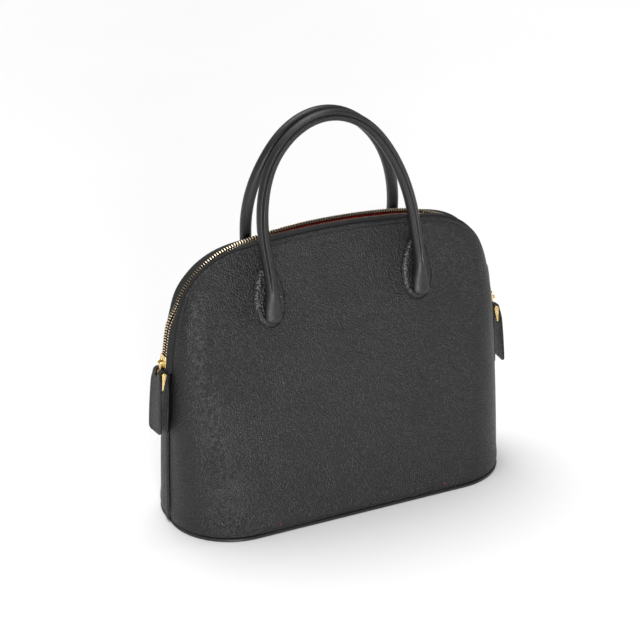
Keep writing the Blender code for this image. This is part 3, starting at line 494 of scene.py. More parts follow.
def sewn_row(path, normal, pitch=STITCH_PITCH, length=STITCH_LENGTH, radius=THREAD_RADIUS):
    """Stitches laid end to end on a path with the leather's normals, as many as fit its length evenly."""
    total = lengths_along(path)
    count = max(int(total[-1] / pitch), 1)
    middle = (np.arange(count) + 0.5) * total[-1] / count
    start, end = (between(path, total, middle + shift * length) for shift in (-0.5, 0.5))
    heading = unit(end - start)
    across = unit(np.cross(between(normal, total, middle), heading))
    return repeated(stitch_shape(length, radius), (start + end) / 2, across, np.cross(heading, across))


def gathered(*shapes):
    """Several shells as the points and faces of one mesh."""
    points, faces, count = [], [], 0
    for shell, quads in shapes:
        points.append(np.reshape(shell, (-1, 3)))
        faces += [f + count for f in quads]
        count += len(points[-1])
    return np.vstack(points), faces


def waxed_thread():
    """Black waxed thread: a soft shine, and a fine twist across its length, painted darker between its turns as shade.
    """
    material, tree = new_finish("waxed_thread", 0.42)
    twist = ribs_on(tree, place_on(tree), "DIAGONAL", Scale=900.0, Distortion=2.0)
    # Painted shade: darker between the twist's turns.
    colour = colours_of(tree, twist, (0.012, 0.012, 0.013), (0.045, 0.045, 0.047))
    return finished(material, colour, bump_of(tree, twist, 0.00005))


thread = waxed_thread()
for where, (path, normal) in seam_rows.items():
    row = piece(f"{where}_zip_stitching", sewn_row(path, normal), thread)
    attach(row, "bag_body")


# ---------------------------------------------------------------- Base
# A slab of the same cowhide, cut slightly larger than the foot of the panels, with its cut edge
# rounded, dyed and burnished. A row of stitches in a groove underneath holds it to the panels.

BASE_PROUD = 0.0010
BASE_CORNER_STEPS = 24
# Distance out from the panels' foot and height of each line of the section, in mm, from below
BASE_SECTION = np.array([
    (-9.0, 0.0), (-6.2, 0.0), (-5.7, 0.3), (-5.2, 0.45), (-4.7, 0.3), (-4.2, 0.0), (-1.0, 0.0), (-0.35, 0.10),
    (-0.05, 0.45), (0.05, 1.15), (-0.05, 1.85), (-0.4, 2.25), (-1.0, 2.42), (-5.0, 2.45),
]) / 1000


def base_outline(grow):
    """The foot's outline (x, y), anticlockwise from above, grown outwards: straight sides between
    corners that are quarters of the ellipse that the panels' roll ends in."""
    start = EDGE_GAP_END + SEAM_FROM_ROW
    deep = half_depth(BASE_HALF_WIDTH, 0.0)
    rise, swing = deep - start, ROLL_SHARE * deep
    turn = np.linspace(0.0, math.pi / 2, BASE_CORNER_STEPS + 1)
    outward = unit(joined(np.cos(turn) / swing, np.sin(turn) / rise))
    edge = BASE_HALF_WIDTH - SEAM_INSET
    corner = joined(edge - swing * (1.0 - np.cos(turn)), start + rise * np.sin(turn)) + grow * outward
    straight = corner[-1] * joined(np.linspace(1.0, -1.0, 30)[1:-1], np.ones(28))
    half = np.vstack([corner, straight, corner[::-1] * [-1, 1]])
    return np.vstack([half, -half])


def edge_dyed_leather():
    """Cut leather edge: smooth and burnished, with the fibres showing as fine streaks along it."""
    material, tree = new_finish("edge_dyed_leather", 0.34)
    stretched = node(tree, "Mapping", {"Vector": place_on(tree), "Scale": (1.0, 1.0, 7.0)}).outputs[0]
    fibre = noise_on(tree, stretched, Scale=420.0, Detail=4.0)
    colour = colours_of(tree, fibre, (0.008, 0.008, 0.008), (0.022, 0.021, 0.021), 0.3, 0.7)
    return finished(material, colour, bump_of(tree, fibre, 0.00008, 0.5), mix_of(tree, fibre, 0.28, 0.46, 0.3, 0.7))


edge_leather = edge_dyed_leather()
loops = np.array([np.c_[base_outline(BASE_PROUD + grow), np.full(len(base_outline(0.0)), high)]
                  for grow, high in BASE_SECTION])
base = piece("base_leather", tube(loops), edge_leather, 60.0)
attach(base, "bag_body")
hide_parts("base_panel")

groove = base_outline(BASE_PROUD + BASE_SECTION[3, 0])
groove = np.c_[np.vstack([groove, groove[:1]]), np.full(len(groove) + 1, BASE_SECTION[3, 1])]
row = piece("base_stitching", sewn_row(groove, np.tile([0.0, 0.0, -1.0], (len(groove), 1)), radius=0.0003), thread)
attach(row, "bag_body")


# ---------------------------------------------------------------- Boards
# Bonded leather board: a stiff sheet on the base and a thin one behind each panel. They keep the bag
# upright, and the leather and the lining hide them.

def bonded_board():
    """Pressed leather fibre: mottled brown with short fibres lying every way."""
    material, tree = new_finish("bonded_board", 0.8)
    fibre = noise_on(tree, place_on(tree), Scale=700.0, Detail=5.0, Distortion=1.5)
    colour = colours_of(tree, fibre, (0.07, 0.048, 0.03), (0.17, 0.125, 0.085), 0.3, 0.7)
    return finished(material, colour, bump_of(tree, fibre, 0.0002, 0.4))


board = bonded_board()
for name in ("base_board", "front_stiffener", "back_stiffener"):
    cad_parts[name].material_slots[0].material = board


# ---------------------------------------------------------------- Lining
# Red cotton twill, sewn to the zip tapes close beside the teeth and falling slack inside the panels
# to a separate floor over the base board. It shows between the two open rows of the zip.

LINING_THICK = 0.0007
LINING_BEHIND_FACE = 0.0038
LINING_FOOT = 0.0085
LINING_COLUMNS = 161
BASE_LINING_IN = 0.0062
# From a tooth row's middle: distance away from the bag's middle and distance off the outline, in mm
LINING_ROLL = np.array([(0.6, -2.0), (0.2, -2.4), (-0.4, -3.5), (-0.8, -5.0), (-0.6, -6.8)]) / 1000


def red_twill():
    """Fine red twill: diagonal ribs of thread crossed by the weft, painted darker between them as shade."""
    material, tree = new_finish("red_twill", 0.72, Sheen_Weight=0.15)
    place = place_on(tree)
    rib = ribs_on(tree, place, "DIAGONAL", Scale=420.0, Distortion=0.6, Detail=1.0)
    weave = math_of(tree, "MULTIPLY", rib, ribs_on(tree, place, "X", Scale=640.0, Distortion=0.4))
    # Painted shade: darker where the weave is low, between the threads.
    colour = colours_of(tree, weave, (0.55, 0.016, 0.020), (0.90, 0.045, 0.050))
    return finished(material, colour, bump_of(tree, weave, 0.00012, 0.6))


ROW_GAP_LEAST, ROW_GAP_FOOT, ROW_GAP_CROWN = 0.0015, 0.0031, 0.0048
GAP_BUMP, GAP_BUMP_AT, GAP_BUMP_WIDE = 0.0008, 0.05, 0.03
FOOT_LIFT, SHOULDER_SINK, CROWN_LIFT = 0.0020, 0.0010, 0.0003
# At the foot, on the shoulder and at the crown
ROW_TILTS = {1: np.radians([14.0, 50.0, 30.0]), -1: np.radians([14.0, 8.0, 28.0])}
FRONT_SINKS = 0.0, 0.0020, 0.0006
# Start and length of the stretches from the crown where the rows change. The gap's left one counts to
# the right, and its right one to the left.
TOP_RUN, FOOT_RUN, LIFT_RUN = (0.062, 0.045), (0.167, 0.022), (0.172, 0.020)
CROWN_GAP_LEFT, CROWN_GAP_RIGHT = (-0.095, 0.075), (-0.105, 0.03)

# Start and length of the stretch away from a row's middle where tape and lining leave its frame
BESIDE_RUN = 0.0012, 0.0035


def row_frames(along, side):
    """Where a tooth row lies: its middle, the directions away from the other row and off its own tape.

    The rows are lifted at their feet by the sliders, sunk and all but closed on the shoulders and open
    at the crown, widest to the right of it. Both are rolled in towards the mouth, so that their tips
    dip, and on the shoulders the front row lies under its tape.
    """
    point, normal = outline(along)
    a = np.abs(along)
    at_foot, on_top = over_run(a, FOOT_RUN), 1.0 - over_run(a, TOP_RUN)
    shares = np.stack([at_foot, 1.0 - at_foot - on_top, on_top])
    crown_open = over_run(along, CROWN_GAP_LEFT) * over_run(-along, CROWN_GAP_RIGHT)
    gap = ROW_GAP_LEAST + (ROW_GAP_FOOT - ROW_GAP_LEAST) * at_foot
    gap = gap + (ROW_GAP_CROWN - ROW_GAP_LEAST) * crown_open + GAP_BUMP * hump(along, GAP_BUMP_AT, GAP_BUMP_WIDE)
    tilt = (ROW_TILTS[side] @ shares)[:, None]
    lift = CROWN_LIFT * shares[2] + FOOT_LIFT * over_run(a, LIFT_RUN) - SHOULDER_SINK * shares[1]
    if side > 0:
        lift = lift - FRONT_SINKS @ shares
    off, outwards = at_depth(normal, 0.0), np.array([0.0, -side, 0.0])
    middle = at_depth(point, -side * gap) + lift[:, None] * off
    return middle, np.cos(tilt) * outwards + np.sin(tilt) * off, np.cos(tilt) * off - np.sin(tilt) * outwards


def beside_row(along, side, away, off):
    """Lines beside a tooth row, each at a distance away from its middle and one off its tape. Close to
    the row they follow its frame, and towards the seam they go over to the panel's raised edge."""
    middle, outwards, upwards = row_frames(along, side)
    near = middle + away[:, None, None] * outwards + off[:, None, None] * upwards
    point, normal = outline(along)
    spot = point + (off[:, None] + edge_raise(along, side))[..., None] * normal
    far = at_depth(spot, -side * (edge_gap(along) + away[:, None]))
    return near + (far - near) * over_run(away, BESIDE_RUN)[:, None, None]


# How much further away and down the lining lies past the crown, where the rows all but close
LINING_DRAWN_BACK = np.array([0.0010, -0.0022])
LINING_BACK_RUN, LINING_OPEN_OVER = (0.085, 0.025), 0.02
LINING_SLACK = 0.0007
lining_cloth = red_twill()
lining_along = np.linspace(-1.0, 1.0, LINING_COLUMNS) * (HALF_LENGTH - LINING_FOOT)
for side, where in FRONT_AND_BACK:
    wall = panel_grid(lining_along, LINING_FOOT, side, np.array([0.010, 0.014]), 10, 16)
    inward = -face_normals(wall)
    slack = LINING_SLACK * (1 + np.sin(wall[..., 0] * 190 + 2.1 * side) * np.sin(wall[..., 2] * 70 + side))
    clear_of_foot = smooth_share((wall[..., 2] - LINING_FOOT) / 0.02)
    wall = (wall + (LINING_BEHIND_FACE + slack * clear_of_foot)[..., None] * inward) * [1, side, 1]
    over = beside_row(lining_along, side, *LINING_ROLL.T)
    drawn_back = beside_row(lining_along, side, *(LINING_ROLL + LINING_DRAWN_BACK).T)
    over = over + (drawn_back - over) * over_run(np.abs(lining_along), LINING_BACK_RUN)[:, None]
    open_share = over_run(HALF_LENGTH - np.abs(lining_along), (ZIP_FOOT + 0.010, LINING_OPEN_OVER))
    over = wall[:1] + (over - wall[:1]) * open_share[:, None]
    rows = np.concatenate([over, wall[1:]])
    lining = thicken(piece(f"{where}_red_lining", sheet(rows, side), lining_cloth, 80.0), LINING_THICK)
    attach(lining, "bag_body")
    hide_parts(f"{where}_lining")

low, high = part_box("base_lining")
rim = base_outline(-BASE_LINING_IN)
spine = np.c_[np.clip(rim[:, 0], -0.1, 0.1), np.zeros(len(rim))]
shares = np.array([0.0, 0.012, 0.05, 0.2, 0.4, 0.6, 0.8, 0.97])
floor_rows = rim + (spine - rim) * shares[:, None, None]
puff = 0.0005 * np.sin(np.pi * shares)[:, None] + 0.0 * floor_rows[..., 0]
ripple = 0.0002 * np.sin(floor_rows[..., 0] * 160) * np.sin(floor_rows[..., 1] * 190)
floor_rows = np.concatenate([floor_rows, (high.z + puff + ripple * (puff > 0))[..., None]], axis=-1)
quads = net(*floor_rows.shape[:2], ring_columns=True)
last_loop = np.arange(len(rim))[None] + (len(shares) - 1) * len(rim)
base_cloth = thicken(piece("base_red_lining", (floor_rows, [quads, last_loop]), lining_cloth, 80.0), LINING_THICK)
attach(base_cloth, "bag_body")
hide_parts("base_lining")


# ---------------------------------------------------------------- End strips
# Narrow leather strips that cover the butted edges of the two panels at both ends, from the base up
# to the foot of the zip. Their edges are turned under, and a stitch row runs along each.

LEFT_AND_RIGHT = (-1, "left"), (1, "right")
STRIP_HALF_WIDTH = 0.0039
STRIP_THICK = 0.0012
STRIP_FACE = -0.0005
STRIP_TOP = 0.1473
STRIP_LOW = 0.0026
STRIP_NEEDLE_LINE, STRIP_GROOVE_DEEP, STRIP_GROOVE_WIDE = 0.0026, 0.00028, 0.00032
STRIP_EDGE_FALL, STRIP_TOP_FALL, STRIP_TOP_ROUND = 0.0009, 0.0008, 0.0024
STRIP_ACROSS = np.array([0.0, 1.0, 2.0, 2.3, 2.6, 2.9, 3.1, 3.5, 3.82, 3.9]) / 1000
STRIP_ACROSS = np.r_[-STRIP_ACROSS[:0:-1], STRIP_ACROSS]


def strip_face(up, across, side):
    """Face of a strip: the outline's side raised to the strip's face, with rounded edges that fall as
    the eighth power of the way across, a groove at each needle line and a round upper end."""
    point, normal = outline(side * (HALF_LENGTH - up))
    groove = STRIP_GROOVE_DEEP * hump(np.abs(across), STRIP_NEEDLE_LINE, STRIP_GROOVE_WIDE)
    face = STRIP_FACE - STRIP_EDGE_FALL * (across / STRIP_HALF_WIDTH) ** 8 - groove
    near_top = np.clip((up - STRIP_TOP + STRIP_TOP_ROUND) / STRIP_TOP_ROUND, 0.0, 1.0)[:, None]
    y = across * (1.0 - 0.35 * near_top ** 2.5)
    spot = point[:, None] + (face - STRIP_TOP_FALL * near_top ** 3)[..., None] * normal[:, None]
    return at_depth(spot, y)


for side, where in LEFT_AND_RIGHT:
    up = np.r_[np.linspace(STRIP_LOW, STRIP_TOP - 0.0026, 70), np.linspace(STRIP_TOP - 0.0022, STRIP_TOP, 6)]
    face = strip_face(up, STRIP_ACROSS, side)
    strip = thicken(piece(f"{where}_end_leather", sheet(face, -side), panel_leather, 60.0), STRIP_THICK)
    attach(strip, "bag_body")
    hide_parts(f"{where}_end_strip")
    outward = at_depth(outline(side * (HALF_LENGTH - up))[1], 0.0)
    rows = [sewn_row(face[:-4, column], outward[:-4]) for column in (5, 13)]
    row = piece(f"{where}_end_stitching", gathered(*rows), thread)
    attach(row, "bag_body")


# ---------------------------------------------------------------- Zip tapes
# Black woven polyester tapes. Their thick corded edge carries the teeth, and the rest dips under the
# turned edge of the panel, where the stitch row holds it.

TAPE_THICK = 0.0005
TAPE_COLUMNS = 301
TAPE_UNDER_FACE = 0.0024
# From a tooth row's middle: distance away from the bag's middle and distance off the outline, in mm
# The first points carry the tape's dark corded edge in under the teeth most of the way to their tips, further than a
# cord lies, as a dark sheet standing in for shade in the gaps between teeth.
TAPE_SECTION = np.array([
    (-1.0, -0.75), (-1.15, -0.45), (-0.9, -0.15), (-0.2, 0.25), (0.6, 0.62), (1.3, 0.66), (1.9, 0.42), (2.5, 0.12),
    (3.3, 0.0), (4.0, -0.25), (4.7, -1.2),
]) / 1000


def woven_tape():
    """Herringbone tape: ribs along it slant one way and then the other across its width, painted darker between them
    as shade.
    """
    material, tree = new_finish("woven_tape", 0.75)
    place = node(tree, "UVMap", uv_map="weave").outputs[0]
    along, across, _ = node(tree, "SeparateXYZ", {0: place}).outputs
    slant = math_of(tree, "ADD", along, math_of(tree, "PINGPONG", across, 0.0007))
    slanted = node(tree, "CombineXYZ", {0: slant, 1: across}).outputs[0]
    rib = ribs_on(tree, slanted, "X", Scale=640.0)
    weave = math_of(tree, "MULTIPLY", rib, ribs_on(tree, place, "Y", Scale=900.0))
    # Painted shade: darker where the weave is low, between the ribs.
    colour = colours_of(tree, weave, (0.005, 0.005, 0.005), (0.020, 0.020, 0.021))
    return finished(material, colour, bump_of(tree, weave, 0.00015, 0.7))


def kept_places(item):
    """The places of an object's points, one after another."""
    places = np.zeros(len(item.data.vertices) * 3)
    item.data.vertices.foreach_get("co", places)
    return places


def lay_flat(item, rows, columns):
    """Gives a grid its cut-flat coordinates in metres: the length along its rows and across them."""
    grid = kept_places(item).reshape(rows, columns, 3)
    flat = joined(lengths_along(grid, 1), lengths_along(grid, 0)).reshape(-1, 2)
    corner = np.zeros(len(item.data.loops), np.int32)
    item.data.loops.foreach_get("vertex_index", corner)
    item.data.uv_layers.new(name="weave").data.foreach_set("uv", flat[corner].ravel())
    return item


tape_cloth = woven_tape()
tape_along = np.linspace(-1.0, 1.0, TAPE_COLUMNS) * (HALF_LENGTH - ZIP_FOOT + 0.0028)
for side, where in FRONT_AND_BACK:
    lines = panel_lines(tape_along, LEATHER_FOOT, side)[0]
    under = walk(lines, np.tile([0.0002, 0.003, 0.006], (TAPE_COLUMNS, 1))).transpose(1, 0, 2)
    under = (under - TAPE_UNDER_FACE * face_normals(under)) * [1, side, 1]
    rows = np.concatenate([beside_row(tape_along, side, *TAPE_SECTION.T), under])
    tape = piece(f"{where}_zip_tape", sheet(rows, -side), tape_cloth, 80.0)
    thicken(lay_flat(tape, *rows.shape[:2]), TAPE_THICK)
    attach(tape, "bag_body")
    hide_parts(f"zip_tape_{where}")

TAPE_END_LOW, TAPE_END_HIGH, TAPE_END_HALF_WIDTH = 0.1330, 0.1530, 0.0052
for side, where in LEFT_AND_RIGHT:
    up = np.linspace(TAPE_END_LOW, TAPE_END_HIGH, 12)
    point, normal = outline(side * (HALF_LENGTH - up))
    across = np.linspace(-TAPE_END_HALF_WIDTH, TAPE_END_HALF_WIDTH, 13)
    off = -0.0021 - 0.0004 * (across / TAPE_END_HALF_WIDTH) ** 2
    points = at_depth(point[:, None] + off[:, None] * normal[:, None], across)
    ends = piece(f"{where}_tape_ends", sheet(points, -side), tape_cloth, 80.0)
    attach(thicken(lay_flat(ends, *points.shape[:2]), TAPE_THICK), "bag_body")


# ---------------------------------------------------------------- Zip teeth
# Separate brass teeth, 2.45 mm apart, stamped from flat wire and clamped on the corded edge of each
# tape. Each has a hollow and a nib near its tip, and the two rows stand half a step apart.

TOOTH_PITCH = 0.00245
TOOTH_RUN = HALF_LENGTH - 0.1522
# Each section from the tape to the tip: distance, half width and half height, in mm
TOOTH_SECTIONS = np.array([
    (-1.80, 0.34, 0.95), (-1.66, 0.50, 1.22), (-0.45, 0.52, 1.32), (0.10, 0.48, 1.22), (0.80, 0.44, 1.08),
    (1.15, 0.50, 1.05), (1.60, 0.48, 0.90), (1.78, 0.34, 0.62),
]) / 1000


def polished_brass(name, stained, bright, shade_attribute=None):
    """Bright brass: fine drawing scratches and slight stains that dull it in places. Where a shade attribute
    is named, the metal is painted nearly black at 0, as shade, and is bright at 1."""
    material, tree = new_finish(name, 0.2, Metallic=1.0)
    place = place_on(tree)
    stain = noise_on(tree, place, Scale=240.0, Detail=3.0)
    drawn_out = node(tree, "Mapping", {"Vector": place, "Scale": (1.0, 1.0, 0.15)}).outputs[0]
    scratch = noise_on(tree, drawn_out, Scale=5200.0, Detail=2.0)
    colour = colours_of(tree, stain, stained, bright, 0.35, 0.6)
    if shade_attribute:
        # Painted shade: where the attribute is low, the metal is painted nearly black.
        unshaded = mix_of(tree, node(tree, "Attribute", attribute_name=shade_attribute).outputs["Fac"], 0.0, 1.0, 0.15, 0.6)
        sockets = {0: unshaded, 6: (0.020, 0.014, 0.010, 1.0), 7: colour}
        colour = node(tree, "Mix", sockets, data_type="RGBA").outputs[2]
    rough = mix_of(tree, stain, 0.30, 0.15, 0.35, 0.6)
    return finished(material, colour, bump_of(tree, scratch, 0.00002, 0.25), rough)


def tooth_shape():
    """One tooth with its tip along +Y: rectangles with cut corners, eight points each, whose half width
    along X and half height along Z are given for each distance along Y."""
    y, wide, high = TOOTH_SECTIONS.T
    corner_x = np.array([1.0, 1.0, 0.6, -0.6, -1.0, -1.0, -0.6, 0.6])
    corner_z = np.array([-0.7, 0.7, 1.0, 1.0, 0.7, -0.7, -1.0, -1.0])
    points, faces = tube(joined(wide[:, None] * corner_x, y[:, None], high[:, None] * corner_z))
    return points, [f[:, ::-1] for f in faces]


tooth_brass = polished_brass("tooth_brass", (0.58, 0.47, 0.32), (0.84, 0.70, 0.50), shade_attribute="unshaded")
tooth = tooth_shape()
# Points more than 0.4 of the tooth's half height off its middle are unshaded; any nearer the middle would be painted
# dark, as shade between the teeth.
unshaded = (np.abs(tooth[0][:, 2]) > 0.4 * np.repeat(TOOTH_SECTIONS[:, 2], 8)).astype(float)
for side, where in FRONT_AND_BACK:
    count = int(TOOTH_RUN / TOOTH_PITCH)
    along = (np.arange(-count, count) + 0.5 - 0.25 * side) * TOOTH_PITCH
    middle, outwards, upwards = row_frames(along, side)
    teeth = piece(f"{where}_zip_teeth", repeated(tooth, middle, -outwards, upwards), tooth_brass, 30.0)
    teeth.data.attributes.new("unshaded", "FLOAT", "POINT").data.foreach_set("value", np.tile(unshaded, len(along)))
    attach(teeth, "bag_body")
    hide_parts(f"zip_teeth_{where}")


# ---------------------------------------------------------------- Zip stops
# A brass staple at each foot of the zip, clamped across both tapes under the last teeth so that the
# slider can't run off.

STOP_UP = 0.1506
STOP_HALVES = np.array([0.0034, 0.0011, 0.0010])
STOP_OFF = 0.0008


def signed_power(value, power):
    """The size of a value raised to a power, with its sign kept."""
    return np.sign(value) * np.abs(value) ** power


def rounded_block(halves, corner=0.35, rings=14, sides=28):
    """A block with rounded edges: each coordinate of a ball is raised to the corner power, so
    x = cos(a)^c cos(b)^c, y = cos(a)^c sin(b)^c and z = sin(a)^c, all with their signs kept."""
    a = np.linspace(-math.pi / 2, math.pi / 2, rings + 2)[1:-1, None]
    b = full_turn(sides)
    level, high, x, y = [signed_power(v, corner) for v in (np.cos(a), np.sin(a), np.cos(b), np.sin(b))]
    return tube(joined(level * x, level * y, high) * halves)


def chain_axes(side, up):
    """The place on the outline at a height along it, with the directions across, up and off the chain."""
    point, normal = outline(np.array(side * (HALF_LENGTH - up)))
    off = at_depth(normal, 0.0)
    return at_depth(point, 0.0), (np.array([0.0, 1.0, 0.0]), np.cross(off, [0.0, side, 0.0]), off)


brass = polished_brass("polished_brass", (0.62, 0.42, 0.16), (0.88, 0.68, 0.34))
for side, where in LEFT_AND_RIGHT:
    spot, axes = chain_axes(side, STOP_UP)
    shape = placed(rounded_block(STOP_HALVES), spot + STOP_OFF * axes[2], axes)
    stop = piece(f"{where}_zip_stop", shape, brass, 60.0)
    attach(stop, "bag_body")
    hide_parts(f"zip_stop_{where}")


# ---------------------------------------------------------------- Sliders
# Cast brass sliders: two plates joined by a wedge between the open rows, with lips that close round
# the tapes' corded edges. Two lugs on the outer plate hold the cross bar that the pull hangs from.

SLIDER_UP = 0.1575
SLIDER_HALF_LENGTH = 0.0061
SLIDER_HALF_WIDTH = 0.0052
PLATE_OFF = 0.0021
SLIDER_LIFT = FOOT_LIFT
LIP_AT, LIP_HALF, LIP_OFF = 0.0053, 0.0005, 0.00135
BAR_OFF = 0.00645
BAR_DROP = 0.0015
BAR_RADIUS, BAR_PAST = 0.0009, 0.0003
LUG_AT, LUG_HALF, LUG_HEAD = 0.00285, 0.00045, 0.0017
WEDGE_UP = 0.0032
WEDGE_OUTLINE = np.array([(0.0, -2.2), (1.2, -0.4), (1.3, 1.2), (0.0, 1.6), (-1.3, 1.2), (-1.2, -0.4)]) / 1000


def inward_of(edge):
    """Directions into a closed anticlockwise outline, square to the line between each point's neighbours."""
    step = unit(np.roll(edge, -1, axis=0) - np.roll(edge, 1, axis=0))
    return joined(-step[:, 1], step[:, 0])


def pressed_plate(edge, levels):
    """A plate with an outline (N, 2), anticlockwise: the outline set in by each level's inset and
    carried to its height, closed below the first level and above the last."""
    inset, high = np.array(levels).T[..., None]
    spot = edge + inset[..., None] * inward_of(edge)
    return tube(joined(spot[..., 0], spot[..., 1], high))


def soft_rectangle(half_x, half_y, corner=0.35, points=40):
    """A rectangle's outline with round corners: (cos t)^c and (sin t)^c, signs kept."""
    return signed_power(facing(full_turn(points)), corner) * [half_x, half_y]


def even_plate(edge, lower_levels):
    """A plate that is the same above its middle as below, given the levels of its lower half."""
    return pressed_plate(edge, lower_levels + [(inset, -high) for inset, high in lower_levels[::-1]])


def rounded_plate(edge, half, soft):
    """A plate of a half thickness, with both rims rounded by a soft edge's radius."""
    return even_plate(edge, [(soft, -half), (0.3 * soft, 0.3 * soft - half), (0.0, soft - half)])


def round_bar(radius, half_length):
    """A round bar along the third axis, with domed ends."""
    levels = [(0.6, 0.0), (0.2, 0.25), (0.0, 0.6)]
    return even_plate(radius * facing(full_turn(24)), [(i * radius, h * radius - half_length) for i, h in levels])


def slider_plate(crown):
    """Outline and levels of a slider's plate: its waist is narrower than its shoulders, and its outer
    face is crowned."""
    edge = soft_rectangle(SLIDER_HALF_WIDTH, SLIDER_HALF_LENGTH, 0.42, 56)
    waist = 1.0 - 0.10 * smooth_share(0.5 - edge[:, 1] / (1.6 * SLIDER_HALF_LENGTH))
    edge = edge * joined(waist, np.ones(len(edge)))
    return pressed_plate(edge, [(0.00025, -0.00045), (0.0, -0.0002), (0.0, 0.0001), (0.0003, 0.00042),
                                (0.0014, 0.00045 + crown), (0.003, 0.0005 + 1.4 * crown)])


def lug_outline():
    """A lug from the plate up: flared foot, straight sides and a half-round head on the cross bar."""
    low = SLIDER_LIFT + PLATE_OFF + 0.0002
    head = [0.0, BAR_OFF] + LUG_HEAD * facing(np.linspace(0.0, math.pi, 13))
    foot = np.array([(-0.0018, BAR_OFF - 0.0012), (-0.0021, low + 0.0010), (-0.0027, low)])
    return np.vstack([head, foot, foot[::-1] * [-1, 1]])


pull_bars = {}
for side, where in LEFT_AND_RIGHT:
    spot, axes = chain_axes(side, SLIDER_UP)
    across, upward, off = axes
    bar_spot = spot + BAR_OFF * off - BAR_DROP * upward
    shells = [placed(round_bar(BAR_RADIUS, LUG_AT + LUG_HALF + BAR_PAST), bar_spot, (off, upward, across))]
    for hand in (-1, 1):
        lug = rounded_plate(lug_outline(), LUG_HALF, 0.00018)
        shells.append(placed(lug, spot + hand * LUG_AT * across - BAR_DROP * upward, (upward, off, across)))
    spot = spot + SLIDER_LIFT * off
    shells += [placed(slider_plate(0.00012), spot + PLATE_OFF * off, axes),
               placed(slider_plate(0.0), spot - PLATE_OFF * off, (across, upward, -off))]
    lip = rounded_plate(soft_rectangle(LIP_HALF, SLIDER_HALF_LENGTH - 0.0011, 0.5, 24), 0.0005, 0.0002)
    for hand, face in ((-1, -1), (-1, 1), (1, -1), (1, 1)):
        shells.append(placed(lip, spot + hand * LIP_AT * across + face * LIP_OFF * off, axes))
    shells.append(placed(rounded_plate(WEDGE_OUTLINE, 0.0019, 0.0001), spot + WEDGE_UP * upward, axes))
    slider = piece(f"{where}_slider_brass", gathered(*shells), brass, 35.0)
    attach(slider, f"{where}_slider")
    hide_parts(f"slider_{where}")
    pull_bars[where] = bar_spot


# ---------------------------------------------------------------- Pull links
# Short flat brass bars with a rolled eye at each end. The upper eye turns on the slider's cross bar,
# and the lower one on the pin of the leather pull.

LINK_LENGTH = 0.0104
LINK_HALF_WIDTH = 0.0021
EYE_RADIUS, EYE_BORE = 0.0016, 0.00105
X, Y, Z = np.eye(3)


def rolled_eye(sides=32):
    """An eye round the third axis: a rectangle with cut corners, between bore and radius, turned once."""
    inset = 0.0002
    low, high, half = EYE_BORE, EYE_RADIUS, LINK_HALF_WIDTH
    section = np.array([(high, half - inset), (high, inset - half), (high - inset, -half), (low + inset, -half),
                        (low, inset - half), (low, half - inset), (low + inset, half), (high - inset, half)])
    turn = full_turn(sides)[:, None]
    points = joined(section[:, 0] * np.cos(turn), section[:, 0] * np.sin(turn), section[:, 1])
    return points, [net(sides, len(section), ring_rows=True, ring_columns=True)]


pull_pins = {}
for where, bar_spot in pull_bars.items():
    pin_spot = bar_spot - LINK_LENGTH * Z
    half = LINK_LENGTH / 2 - (EYE_RADIUS + EYE_BORE) / 2
    shank = rounded_plate(soft_rectangle(LINK_HALF_WIDTH, half, 0.2), 0.0007, 0.0002)
    shells = [placed(rolled_eye(), bar_spot, (Z, X, Y)), placed(rolled_eye(), pin_spot, (Z, X, Y)),
              placed(shank, (bar_spot + pin_spot) / 2, (Y, Z, X))]
    link = piece(f"{where}_pull_link_brass", gathered(*shells), brass, 35.0)
    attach(link, f"{where}_link")
    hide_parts(f"pull_link_{where}")
    pull_pins[where] = pin_spot


# ---------------------------------------------------------------- Pull bars and pins
# A brass bar with a drop-shaped section lies in the fold of each leather pull, its polished ends
# showing at both sides. It is cut away in the middle for the link's eye, and a riveted pin runs
# through both.

BAR_HALF_WIDTH = 0.0096
DROP_LEAN = math.radians(8.5)
RIVET_DROP, RIVET_RADIUS = 0.0030, 0.0008
DROP_TOP, DROP_HEAD, DROP_TIP, DROP_LENGTH = 0.0035, 0.0022, 0.0009, 0.0158
NOTCH_HALF, NOTCH_OVERLAP, EYE_CLEARANCE = 0.0027, 0.0004, 0.0006
PIN_RADIUS = 0.0009


def drop_outline():
    """A drop in section: a round head, straight flanks and a small round tip, anticlockwise."""
    head = [0.0, DROP_TOP - DROP_HEAD] + DROP_HEAD * facing(np.linspace(0.0, math.pi, 21))
    tip = [0.0, DROP_TOP - DROP_LENGTH + DROP_TIP] + DROP_TIP * facing(np.linspace(math.pi, 2.0 * math.pi, 11))
    return np.vstack([head, tip])


